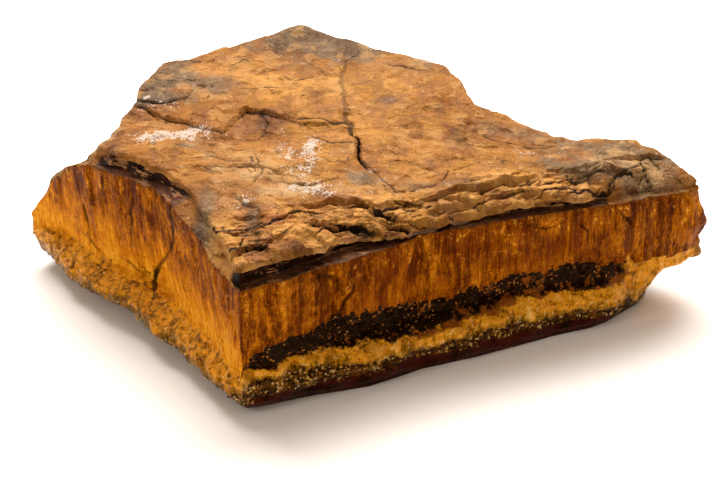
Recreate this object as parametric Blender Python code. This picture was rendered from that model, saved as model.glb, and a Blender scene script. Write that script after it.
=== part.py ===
"""Rough tiger's eye: a broken slab of a banded seam, in one piece.

The stone lies on its bedding. From the floor up it is a dark red ironstone sole, a grey band, a golden
band, a black band, a tall band of upright silky fibres, and a weathered brown ironstone cap.
The frame is +Z up, with the origin on the floor under the middle of the stone's box; -Y is the front.

A subdivided cube is carried onto the stone. Its four upright sides follow a table of stations round the
stone, its top follows a field of spot heights, and its underside stays flat.
"""

import bmesh
import bpy
import numpy as np

# Sizes are in millimetres. MM turns them to metres, once, when the mesh is written.
MM = 0.001

# The cube's cells along the front face, away from it, and up the sides.
CELLS_ALONG = 40
CELLS_BACK = 36

# Beds, as heights over the floor.
SOLE_TOP = 3.0
GREY_TOP = 6.0
GOLD_TOP = 7.6
BLACK_TOP = 12.4
LIP_THICKNESS = 0.8

# How far the cap's field stands over its rounded edge.
BROW = 0.5

# Each station on the outline is (x, y, rim, foot, seam, lean, slot, u, v, edge):
#   x, y   the fibre band's face in plan
#   rim    how far the grey band stands out of that face
#   foot   how far the sole's lower edge stands in from the grey band
#   seam   height of the top of the fibre band
#   lean   how far that top stands in from the face's foot
#   slot   depth of the slot between the fibre band and the cap's lip
#   u, v   the cap's upper edge in plan
#   edge   height of the cap's upper edge
FRONT_CORNER = (-17.5, -35.7, 0.4, 3.4, 22.3, 0.0, 1.2, -17.7, -34.2, 25.6)
RIGHT_CORNER = (55.7, -0.3, -8.2, 1.0, 20.5, 2.0, 0.0, 53.2, -0.2, 21.9)
BACK_CORNER = (-9.0, 36.6, 0.0, 3.0, 21.0, 0.5, 0.0, -10.0, 33.2, 34.5)
LEFT_CORNER = (-55.9, 10.6, -0.8, 6.0, 10.3, 1.2, 0.0, -42.2, 2.0, 27.0)
STATIONS = {
    "front": [
        FRONT_CORNER,
        (-13.5, -33.5, 0.8, 2.6, 22.5, 0.0, 1.6, -13.9, -32.4, 25.8),
        (-6.5, -29.3, 1.6, 1.8, 22.7, 0.0, 1.8, -7.0, -27.8, 25.6),
        (-3.0, -27.3, 2.4, 1.5, 22.7, 0.0, 2.2, -3.4, -24.6, 25.3),
        (0.5, -25.5, 3.0, 1.3, 22.7, 0.0, 2.2, 0.8, -23.4, 24.9),
        (5.0, -22.9, 2.8, 1.1, 22.7, 0.0, 2.2, 4.2, -22.2, 24.4),
        (9.0, -20.3, 2.8, 0.9, 22.7, 0.0, 1.8, 8.7, -20.2, 24.1),
        (17.0, -17.2, 2.6, 0.8, 22.6, 0.0, 1.5, 16.8, -16.8, 24.2),
        (24.5, -14.2, 2.2, 0.8, 22.5, 0.0, 1.5, 24.5, -13.4, 24.4),
        (30.0, -12.2, 1.7, 0.9, 22.3, 0.0, 1.5, 29.8, -11.6, 24.2),
        (33.8, -10.7, 1.8, 1.1, 22.0, 0.0, 1.2, 33.8, -10.8, 23.8),
        (37.0, -9.6, 2.0, 1.4, 21.9, 0.0, 0.8, 36.6, -8.4, 23.6),
        (40.0, -8.4, 1.6, 1.7, 21.8, 0.0, 0.3, 39.6, -7.4, 23.3),
        (44.5, -6.6, 0.0, 2.0, 21.6, 0.1, 0.1, 43.8, -5.4, 23.1),
        (49.0, -4.9, -2.2, 1.8, 21.3, 0.3, 0.0, 47.8, -3.6, 22.7),
        (53.2, -2.8, -6.2, 1.0, 20.9, 1.0, 0.0, 51.4, -2.0, 22.3),
        RIGHT_CORNER,
    ],
    "right": [
        RIGHT_CORNER,
        (54.6, 4.2, -8.0, 1.0, 16.0, 1.0, 0.0, 50.8, 1.6, 23.7),
        (51.0, 8.0, -5.0, 2.5, 16.8, 0.5, 0.0, 47.2, 3.5, 25.2),
        (46.5, 10.8, -1.5, 3.0, 17.5, 0.5, 0.0, 44.4, 5.3, 25.6),
        (40.0, 12.0, 0.5, 3.0, 18.0, 0.5, 0.0, 40.4, 6.8, 25.8),
        (34.5, 11.8, 0.8, 3.0, 18.0, 0.5, 0.0, 36.0, 5.5, 26.0),
        (29.5, 12.8, 1.0, 3.0, 18.5, 0.5, 0.0, 30.8, 5.9, 26.0),
        (25.5, 16.0, 1.0, 3.0, 19.0, 0.5, 0.0, 26.3, 8.4, 26.9),
        (23.0, 20.0, 1.0, 3.0, 19.5, 0.5, 0.0, 22.5, 10.4, 28.4),
        (20.5, 24.5, 1.0, 3.0, 20.0, 0.5, 0.0, 18.7, 11.4, 29.1),
        (17.0, 28.5, 1.0, 3.0, 20.0, 0.5, 0.0, 16.7, 16.0, 30.1),
        (12.5, 31.8, 0.8, 3.0, 20.5, 0.5, 0.0, 14.3, 21.8, 30.9),
        (6.0, 34.3, 0.5, 3.0, 21.0, 0.5, 0.0, 9.5, 26.0, 30.7),
        (-1.0, 35.9, 0.2, 3.0, 21.0, 0.5, 0.0, 0.5, 30.4, 32.4),
        BACK_CORNER,
    ],
    "back": [
        LEFT_CORNER,
        (-53.5, 13.8, 0.0, 4.0, 10.5, 1.0, 0.0, -41.9, 2.6, 27.1),
        (-49.5, 16.0, 0.3, 3.5, 11.0, 0.5, 0.0, -41.2, 3.6, 27.4),
        (-44.5, 19.0, 0.6, 3.5, 11.5, 0.5, 0.0, -39.6, 6.5, 28.2),
        (-41.0, 23.5, 0.8, 3.5, 13.0, 0.5, 0.0, -37.8, 10.6, 28.9),
        (-37.0, 28.5, 0.8, 3.5, 17.0, 0.5, 0.0, -36.9, 15.5, 29.3),
        (-32.0, 31.8, 0.8, 3.5, 19.5, 0.5, 0.0, -36.0, 20.5, 29.9),
        (-26.5, 34.0, 0.6, 3.5, 20.5, 0.5, 0.0, -33.2, 24.6, 30.9),
        (-21.0, 35.6, 0.4, 3.0, 21.0, 0.5, 0.0, -25.8, 26.3, 32.2),
        (-15.5, 36.4, 0.2, 3.0, 21.0, 0.5, 0.0, -17.0, 30.4, 33.7),
        BACK_CORNER,
    ],
    "left": [
        FRONT_CORNER,
        (-19.4, -32.8, 1.6, 5.0, 22.7, 0.0, 0.2, -18.3, -31.8, 25.7),
        (-21.5, -28.8, 2.2, 7.0, 23.3, 0.0, 0.1, -19.8, -28.8, 26.0),
        (-24.0, -23.8, 2.8, 8.0, 24.0, 0.0, 0.1, -21.8, -24.6, 26.4),
        (-26.8, -18.6, 3.2, 8.5, 24.8, 0.0, 0.1, -23.9, -19.4, 27.0),
        (-28.8, -15.2, 4.2, 8.5, 25.4, 0.0, 0.2, -26.2, -14.2, 27.6),
        (-29.6, -13.4, 4.6, 8.5, 25.5, 0.0, 0.5, -28.4, -11.8, 28.0),
        (-31.4, -10.8, 4.4, 8.5, 25.5, 0.0, 0.7, -30.5, -9.4, 28.2),
        (-35.6, -7.4, 3.7, 8.0, 25.5, 0.0, 0.8, -34.8, -6.0, 28.2),
        (-40.1, -4.0, 3.2, 8.0, 25.0, 0.0, 0.5, -39.0, -2.7, 28.1),
        (-42.8, -1.4, 3.3, 7.5, 24.9, 0.0, 0.2, -41.7, -0.2, 26.9),
        (-45.6, 1.8, 3.4, 7.0, 23.4, 0.1, 0.0, -42.4, 0.5, 26.9),
        (-48.5, 5.0, 2.9, 7.0, 21.2, 0.3, 0.0, -42.5, 1.0, 26.9),
        (-52.0, 7.8, 1.3, 6.5, 17.8, 0.5, 0.0, -42.4, 1.5, 27.0),
        (-54.0, 9.3, 0.0, 6.5, 13.6, 0.8, 0.0, -42.3, 1.8, 27.0),
        LEFT_CORNER,
    ],
}

# Spot heights (x, y, z) inside the cap's edge, before its ledges are cut.
SPOT_HEIGHTS = [
    (0.0, -16.5, 27.2), (0.0, -8.0, 28.0), (0.0, 5.0, 29.2), (15.0, -2.0, 28.0), (30.0, -1.0, 26.9),
    (0.0, 18.0, 30.9), (-15.0, 18.0, 31.6), (-25.0, 10.0, 30.4), (-15.0, 0.0, 29.3),
    (-34.0, 4.0, 29.4), (-31.0, 17.0, 30.6), (-8.0, 28.0, 33.0), (-20.0, -20.0, 27.6), (42.0, 1.0, 26.2),
]

# Ledges are (x, y, drop) stations: the cap is lower by drop in front of the line. The upper ledge has a
# softer face than the two along the front.
FRONT_SLOPE = 0.8
UPPER_SLOPE = 2.0
UPPER_LEDGE = [
    (-38, 12.0, 0.0), (-35, 10.5, 0.5), (-31, 6.5, 0.7), (-25, 2.7, 0.7), (-21.8, 2.0, 0.7),
    (-18.4, 9.0, 0.9), (-16, 7.8, 0.8), (-9.5, 5.1, 0.5), (-2, 5.8, 0.2), (1, 6.0, 0.0),
]
PLATEAU_LEDGE = [
    (-22, -22.5, 0.0), (-12, -20.0, 0.3), (-5, -16.5, 0.6), (3, -17.0, 0.8), (6, -15.8, 1.0),
    (18, -11.4, 1.1), (31, -6.6, 1.0), (39, -2.2, 0.9), (46.5, 1.6, 0.6), (49.5, 2.0, 0.0),
]
FLAKY_LEDGE = [
    (-21, -28.6, 0.0), (-17, -29.0, 1.0), (-12.5, -28.6, 1.0), (-8.5, -23.6, 0.8), (-3, -20.8, 0.8),
    (3, -20.6, 0.8), (8, -17.8, 0.9), (17, -14.4, 0.7), (24, -10.9, 0.5), (30, -8.6, 0.0), (40, -5.0, 0.0),
    (48, -1.4, 0.0),
]
LEDGES = [(UPPER_LEDGE, UPPER_SLOPE), (PLATEAU_LEDGE, FRONT_SLOPE), (FLAKY_LEDGE, FRONT_SLOPE)]

# Rows of cells, counted from the front edge, that end at the foot and at the top of each front ledge.
FLAKY_ROWS = (4, 5)
PLATEAU_ROWS = (9, 10)

# Undulation of the broken faces: (wavelength, height) of each octave.
WALL_SWELLS = [(14.0, 0.7), (4.5, 0.35)]
BAND_SWELLS = [(7.0, 0.5), (3.2, 0.35)]
CAP_SWELLS = [(20.0, 0.5), (7.5, 0.3), (3.4, 0.12)]
LEDGE_SWELLS = [(6.0, 0.7), (2.6, 0.4)]
# How much deeper the undulation is on the faces turned to the back than on the others.
BACK_ROUGHNESS = 1.0


def smoothstep(x):
    """0 below 0, 1 above 1, and 3x^2 - 2x^3 between them."""
    x = np.clip(x, 0.0, 1.0)
    return x * x * (3.0 - 2.0 * x)


def lattice_value(cell, seed):
    """A repeatable number from -1 to 1 for each corner of a lattice of whole numbers."""
    mixed = (cell.astype(np.int64) + 4096) @ np.array([73856093, 19349663, 83492791]) + seed * 2654435
    mixed = (mixed ^ (mixed >> 13)) * 1274126177 & 0x7FFFFFFF
    mixed = (mixed ^ (mixed >> 15)) * 668265263 & 0x7FFFFFFF
    return (mixed ^ (mixed >> 11)) / 0x3FFFFFFF - 1.0


def noise(points, seed=0):
    """Smooth value noise: the eight corners of each lattice cell, blended by smoothstep."""
    cell = np.floor(points)
    share = smoothstep(points - cell)
    total = np.zeros(len(points))
    for corner in np.ndindex(2, 2, 2):
        weight = np.prod(np.where(corner, share, 1.0 - share), axis=1)
        total += weight * lattice_value(cell + corner, seed)
    return total


def swells(points, octaves, seed):
    """The sum of each octave's noise times its height."""
    return sum(height * noise(points / length, seed + i) for i, (length, height) in enumerate(octaves))


def dense_side(stations, samples=400):
    """A side's stations read at even steps of its length in plan: rows of station values."""
    table = np.array(stations)
    length = np.r_[0.0, np.cumsum(np.hypot(*np.diff(table[:, :2], axis=0).T))]
    at = np.linspace(0.0, length[-1], samples)
    return np.stack([np.interp(at, length, column) for column in table.T], axis=1)


def outward_normals(ring, reach=240):
    """Outward directions of a closed plan outline that runs anticlockwise, averaged over reach samples."""
    step = np.roll(ring, -1, axis=0) - np.roll(ring, 1, axis=0)
    window = np.hanning(2 * reach + 1)
    wrapped = np.r_[step[-reach:], step, step[:reach]]
    even = np.stack([np.convolve(column, window, "valid") for column in wrapped.T], axis=1)
    outward = np.c_[even[:, 1], -even[:, 0]]
    return outward / np.hypot(*outward.T)[:, None]


def read_sides():
    """Each side's dense station values with the outward normal added as two more columns."""
    sides = {name: dense_side(stations) for name, stations in STATIONS.items()}
    order = [("front", 1), ("right", 1), ("back", -1), ("left", -1)]
    ring = np.concatenate([sides[name][::way, :2] for name, way in order])
    normals = np.split(outward_normals(ring), len(order))
    return {
        name: np.c_[sides[name], normal[::way]]
        for (name, way), normal in zip(order, normals)
    }


SIDES = read_sides()


def on_side(name, share):
    """Station values and normal at a share, 0 to 1, of a side's length."""
    table = SIDES[name]
    at = np.linspace(0.0, 1.0, len(table))
    return np.stack([np.interp(share, at, column) for column in table.T], axis=1)


def plate_kernel(points, spots):
    """r^2 log r between each point and each spot."""
    square = ((points[:, None, :] - spots[None, :, :]) ** 2).sum(axis=2)
    return 0.5 * square * np.log(square + 1e-9)


def behind(stations, plan):
    """How far plan points lie behind a ledge's ragged line."""
    x, y = np.array(stations, float).T[:2]
    ragged = swells(np.c_[plan, np.zeros(len(plan))], LEDGE_SWELLS, seed=70)
    return plan[:, 1] - np.interp(plan[:, 0], x, y) + ragged


def ledge_drop(plan):
    """How much lower the ledges leave the cap at plan points: each drops the ground in front of its line."""
    total = np.zeros(len(plan))
    for stations, slope in LEDGES:
        drop = np.interp(plan[:, 0], *np.array(stations, float).T[[0, 2]], left=0.0, right=0.0)
        total += drop * smoothstep(0.5 - behind(stations, plan) / slope)
    return total


def known_heights():
    """The spots inside the cap and those just over its edge, as plan points and heights before ledges."""
    inside = np.array(SPOT_HEIGHTS)
    edge = np.unique(np.concatenate([np.array(rows)[:, 7:10] for rows in STATIONS.values()]), axis=0)
    apart = [i for i, spot in enumerate(edge) if i == 0 or np.hypot(*(edge[:i, :2] - spot[:2]).T).min() > 1.2]
    edge = edge[apart]
    over = edge[:, 2] + BROW + ledge_drop(edge[:, :2])
    return np.r_[inside[:, :2], edge[:, :2]], np.r_[inside[:, 2], over]


def spline_weights(spots, heights):
    """Weights of the thin-plate spline, r^2 log r with a plane, that passes through the spot heights."""
    n = len(spots)
    system = np.zeros((n + 3, n + 3))
    system[:n, :n] = plate_kernel(spots, spots)
    system[:n, n:] = np.c_[np.ones(n), spots]
    system[n:, :n] = system[:n, n:].T
    return np.linalg.solve(system, np.r_[heights, np.zeros(3)])


SPOTS, HEIGHTS = known_heights()
SPLINE = spline_weights(SPOTS, HEIGHTS)


def cap_height(plan):
    """Height of the cap before its edge is rounded: thin-plate spline, less ledges, plus undulation."""
    terms = np.c_[plate_kernel(plan, SPOTS), np.ones(len(plan)), plan]
    flat = np.c_[plan, np.zeros(len(plan))]
    return terms @ SPLINE - ledge_drop(plan) + swells(flat, CAP_SWELLS, seed=40)


def side_rows(station):
    """Key rows of a side from the floor to the cap's edge, as (height, distance out, share of the way to
    the cap's edge) for each station."""
    rim, foot, seam, lean, slot = station.T[2:7]
    edge = station[:, 9]
    flat = 0.0 * rim
    squeeze = np.minimum(1.0, (seam - 0.6) / (BLACK_TOP + 0.6))
    black = BLACK_TOP * squeeze
    band = seam - black
    lip = np.maximum(edge, seam + 1.4)
    under = lip - LIP_THICKNESS
    hung = smoothstep(slot)
    hollow = -0.2 - 0.4 * hung
    tuck = np.minimum(rim, 0.0)
    return [
        (flat, rim - foot, flat),
        (1.5 * squeeze, rim - 0.45 * foot, flat),
        (SOLE_TOP * squeeze, rim - 0.6, flat),
        (4.2 * squeeze, rim, flat),
        (GREY_TOP * squeeze, 0.95 * rim, flat),
        (6.7 * squeeze, 0.6 * rim, flat),
        (GOLD_TOP * squeeze, 0.2 * rim, flat),
        ((GOLD_TOP + 0.6) * squeeze, hollow + 0.16 * tuck, flat),
        ((BLACK_TOP - 1.2) * squeeze, hollow + 0.12 * tuck, flat),
        (black, 0.1 * tuck, flat),
        (black + 0.28 * band, 0.1 - 0.1 * lean, flat),
        (black + 0.56 * band, -0.3 * lean, flat),
        (black + 0.82 * band, -0.7 * lean, flat),
        (seam, -0.15 - lean, flat),
        (seam + 0.2, -0.15 - lean - slot, 0.04 + 0.06 * hung),
        (0.62 * seam + 0.38 * under, -0.5 * lean - slot, 0.5 - 0.2 * hung),
        (0.3 * seam + 0.7 * under, -0.2 * lean - slot, 0.8 - 0.3 * hung),
        (under, -0.9 * slot, 0.97 - 0.32 * hung),
        (lip - 0.75 * LIP_THICKNESS, 0.3 * np.minimum(slot, 1.0), 0.98 - 0.08 * hung),
        (lip, flat, flat + 1.0),
    ]


ROW_COUNT = 20


def side_points(name, share, level):
    """Points of an upright side: the outline carried out and up by the key rows, plus undulation along the
    normal. level runs from 0 at the foot to 1 at the cap's edge."""
    station = on_side(name, share)
    rows = np.array(side_rows(station))
    at = level * (ROW_COUNT - 1)
    low = np.minimum(at.astype(int), ROW_COUNT - 2)
    part = at - low
    each = np.arange(len(share))
    z, out, way = rows[low, :, each].T * (1 - part) + rows[low + 1, :, each].T * part
    normal = station[:, 10:12]
    out = out * np.where(way < 1.0, 1.0, 0.0)
    plan = station[:, :2] + out[:, None] * normal
    plan = plan + way[:, None] * (station[:, 7:9] - station[:, :2])
    rough = 1.0 + BACK_ROUGHNESS * smoothstep(normal[:, 1] * 1.5)
    grainy = 1.0 - smoothstep((z - GOLD_TOP) / 2.0) * smoothstep((station[:, 4] + 0.6 - z) / 0.6)
    shift = rough * swells(np.c_[plan, 0.35 * z], WALL_SWELLS, seed=10)
    shift += rough * grainy * swells(np.c_[plan, z], BAND_SWELLS, seed=20)
    shift *= smoothstep(0.2 + level * 8.0)
    return np.c_[plan + shift[:, None] * normal, z]


def side_edge(name, share, level):
    """One level of a side, from plain shares of its length."""
    return side_points(name, share, np.full(len(share), float(level)))


def patch_plan(s, t, level):
    """Plan points inside the ring at a level: a Coons patch, which blends the four sides and takes away
    the flat blend of the corners."""
    front, back = (side_edge(name, s, level)[:, :2] for name in ("front", "back"))
    left, right = (side_edge(name, t, level)[:, :2] for name in ("left", "right"))
    ends = np.array([0.0, 1.0])
    f, r = side_edge("front", ends, level)[:, :2]
    l, b = side_edge("back", ends, level)[:, :2]
    s, t = s[:, None], t[:, None]
    flat = (1 - s) * (1 - t) * f + s * (1 - t) * r + (1 - s) * t * l + s * t * b
    return (1 - t) * front + t * back + (1 - s) * left + s * right - flat


def rounding(plan):
    """How far the cap's rounded edge lies below its field: a quarter ellipse of the whole drop at the
    nearest edge point, by distance from it."""
    share = np.linspace(0.0, 1.0, 200)
    edge = np.concatenate([side_edge(name, share, 1.0) for name in STATIONS])
    drop = cap_height(edge[:, :2]) - edge[:, 2]
    gap = np.hypot(*(plan[:, None, :] - edge[None, :, :2]).transpose(2, 0, 1))
    near = drop[gap.argmin(axis=1)]
    inward = np.clip(1.0 - gap.min(axis=1) / (0.6 + 1.5 * np.abs(near)), 0.0, 1.0)
    return near * (1.0 - np.sqrt(1.0 - inward**2))


def top_points(s, t):
    """The cap: its plan patch lifted to the field's height, less the rounded edge."""
    plan = patch_plan(s, t, 1.0)
    return np.c_[plan, cap_height(plan) - rounding(plan)]


def crossing(stations, samples=90):
    """Share of the way back, for even shares along the front, at which the top's grid meets a ledge."""
    s, t = np.meshgrid(np.linspace(0.0, 1.0, samples), np.linspace(0.0, 0.6, samples), indexing="ij")
    beyond = behind(stations, patch_plan(s.ravel(), t.ravel(), 1.0)).reshape(s.shape)
    first = np.maximum((beyond > 0.0).argmax(axis=1), 1)
    each = np.arange(samples)
    near, far = beyond[each, first - 1], beyond[each, first]
    part = np.clip(near / (near - far), 0.0, 1.0)
    return t[0, first - 1] + part * (t[0, first] - t[0, first - 1])


def row_knots():
    """Shares of the way back of the front ledges' rows, for even shares along the front: each ledge takes
    the row before it and the row after it to the foot and to the top of its face."""
    half = 0.6 * FRONT_SLOPE / 62.0
    flaky = np.maximum(crossing(FLAKY_LEDGE), 0.05)
    plateau = np.maximum(crossing(PLATEAU_LEDGE), flaky + 0.05)
    rows = [0.0 * flaky, flaky - half, flaky + half, plateau - half, plateau + half, 1.0 + 0.0 * flaky]
    return np.array(rows)


KNOTS = row_knots()
KNOT_ROWS = np.array((0, *FLAKY_ROWS, *PLATEAU_ROWS, CELLS_BACK)) / CELLS_BACK


def drawn(s, t):
    """Share of the way back for an even share t: straight runs between the ledges' rows at share s."""
    along = np.linspace(0.0, 1.0, KNOTS.shape[1])
    place = np.array([np.interp(s, along, knot) for knot in KNOTS])
    run = np.clip(np.searchsorted(KNOT_ROWS, t, side="right") - 1, 0, len(KNOT_ROWS) - 2)
    part = (t - KNOT_ROWS[run]) / (KNOT_ROWS[run + 1] - KNOT_ROWS[run])
    each = np.arange(len(s))
    return place[run, each] * (1 - part) + place[run + 1, each] * part


def carried(cube):
    """The stone's points for points of the cube from -1 to 1: x along the front face, y away from it."""
    s = (cube[:, 0] + 1) / 2
    t = drawn(s, (cube[:, 1] + 1) / 2)
    level = (cube[:, 2] + 1) / 2
    stone = np.zeros_like(cube)
    top = level > 1 - 1e-6
    for name, chosen, share in (
        ("front", t < 1e-6, s),
        ("back", t > 1 - 1e-6, s),
        ("left", s < 1e-6, t),
        ("right", s > 1 - 1e-6, t),
    ):
        here = chosen & ~top
        stone[here] = side_points(name, share[here], level[here])
    stone[top] = top_points(s[top], t[top])
    return stone


def split_edges(mesh, axis, cells):
    """Cuts every edge along one axis of the cube into equal cells."""
    along = [e for e in mesh.edges if abs(e.verts[0].co[axis] - e.verts[1].co[axis]) > 1e-6]
    bmesh.ops.subdivide_edges(mesh, edges=along, cuts=cells - 1, use_grid_fill=True)


def stone_mesh():
    """The subdivided cube, carried onto the stone."""
    mesh = bmesh.new()
    bmesh.ops.create_cube(mesh, size=2.0)
    for axis, cells in enumerate((CELLS_ALONG, CELLS_BACK, ROW_COUNT - 1)):
        split_edges(mesh, axis, cells)
    sole = [face for face in mesh.faces if face.normal.z < -0.5]
    bmesh.ops.dissolve_faces(mesh, faces=sole, use_verts=False)
    cube = np.array([vert.co for vert in mesh.verts])
    for vert, place in zip(mesh.verts, carried(cube) * MM):
        vert.co = place
    made = bpy.data.meshes.new("stone")
    mesh.to_mesh(made)
    mesh.free()
    return made


def ironstone():
    """Weathered brown ironstone, dull and dry."""
    material = bpy.data.materials.new("weathered_ironstone")
    material.use_nodes = True
    shader = material.node_tree.nodes["Principled BSDF"]
    shader.inputs["Base Color"].default_value = (0.36, 0.17, 0.05, 1.0)
    shader.inputs["Roughness"].default_value = 0.6
    shader.inputs["Metallic"].default_value = 0.0
    return material


def main():
    for old in list(bpy.data.objects):
        bpy.data.objects.remove(old)
    stone = bpy.data.objects.new("stone", stone_mesh())
    stone.data.materials.append(ironstone())
    shelf = bpy.data.collections.new("rough_tigers_eye")
    bpy.context.scene.collection.children.link(shelf)
    shelf.objects.link(stone)


if __name__ == "__main__":
    main()
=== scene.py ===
"""Rough tiger's eye: the looks of a broken slab of a banded seam, in one piece.

The stone lies on its bedding. From the floor up it is a dark red ironstone sole, a grey band, a golden
band, a black band, a tall band of upright silky fibres, and a weathered brown ironstone cap.
One fine mesh is made as a grid that wraps the stone, with four materials on its faces.
"""

import math

import bpy
import numpy as np
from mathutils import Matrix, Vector


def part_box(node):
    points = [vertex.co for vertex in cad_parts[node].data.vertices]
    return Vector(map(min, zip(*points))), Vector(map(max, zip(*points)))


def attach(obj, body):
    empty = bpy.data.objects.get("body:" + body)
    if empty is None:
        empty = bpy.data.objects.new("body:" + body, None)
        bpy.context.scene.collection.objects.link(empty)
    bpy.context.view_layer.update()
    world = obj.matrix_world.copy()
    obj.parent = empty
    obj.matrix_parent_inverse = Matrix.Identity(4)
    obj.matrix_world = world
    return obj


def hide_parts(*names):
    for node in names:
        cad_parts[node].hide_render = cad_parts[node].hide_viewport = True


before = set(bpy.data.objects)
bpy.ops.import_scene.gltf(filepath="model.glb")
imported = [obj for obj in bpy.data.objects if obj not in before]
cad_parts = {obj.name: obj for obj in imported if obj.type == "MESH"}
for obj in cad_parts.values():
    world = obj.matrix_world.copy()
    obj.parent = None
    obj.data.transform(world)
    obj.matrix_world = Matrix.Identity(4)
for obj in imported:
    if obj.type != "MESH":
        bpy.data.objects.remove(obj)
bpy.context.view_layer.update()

bl_info = {
    "name": "Rough tiger's eye",
    "version": (1, 0, 0),
    "blender": (4, 5, 0),
    "location": "View3D > Sidebar > Tiger's Eye",
    "description": "Makes a broken slab of rough tiger's eye and its studio",
    "category": "Object",
}

# Sizes are in millimetres. MM turns them to metres, once, when the mesh is written.
MM = 0.001

# Beds, as heights over the floor.
SOLE_TOP = 3.0
GREY_TOP = 6.0
GOLD_TOP = 7.6
BLACK_TOP = 12.4
LIP_THICKNESS = 0.8

# How far the cap's field stands over its rounded edge, how far that edge stands over the fibres at the
# least, and how far the fine relief may sink it.
BROW = 0.5
LEAST_CAP = 1.4
EDGE_DIP = 0.6

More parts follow.
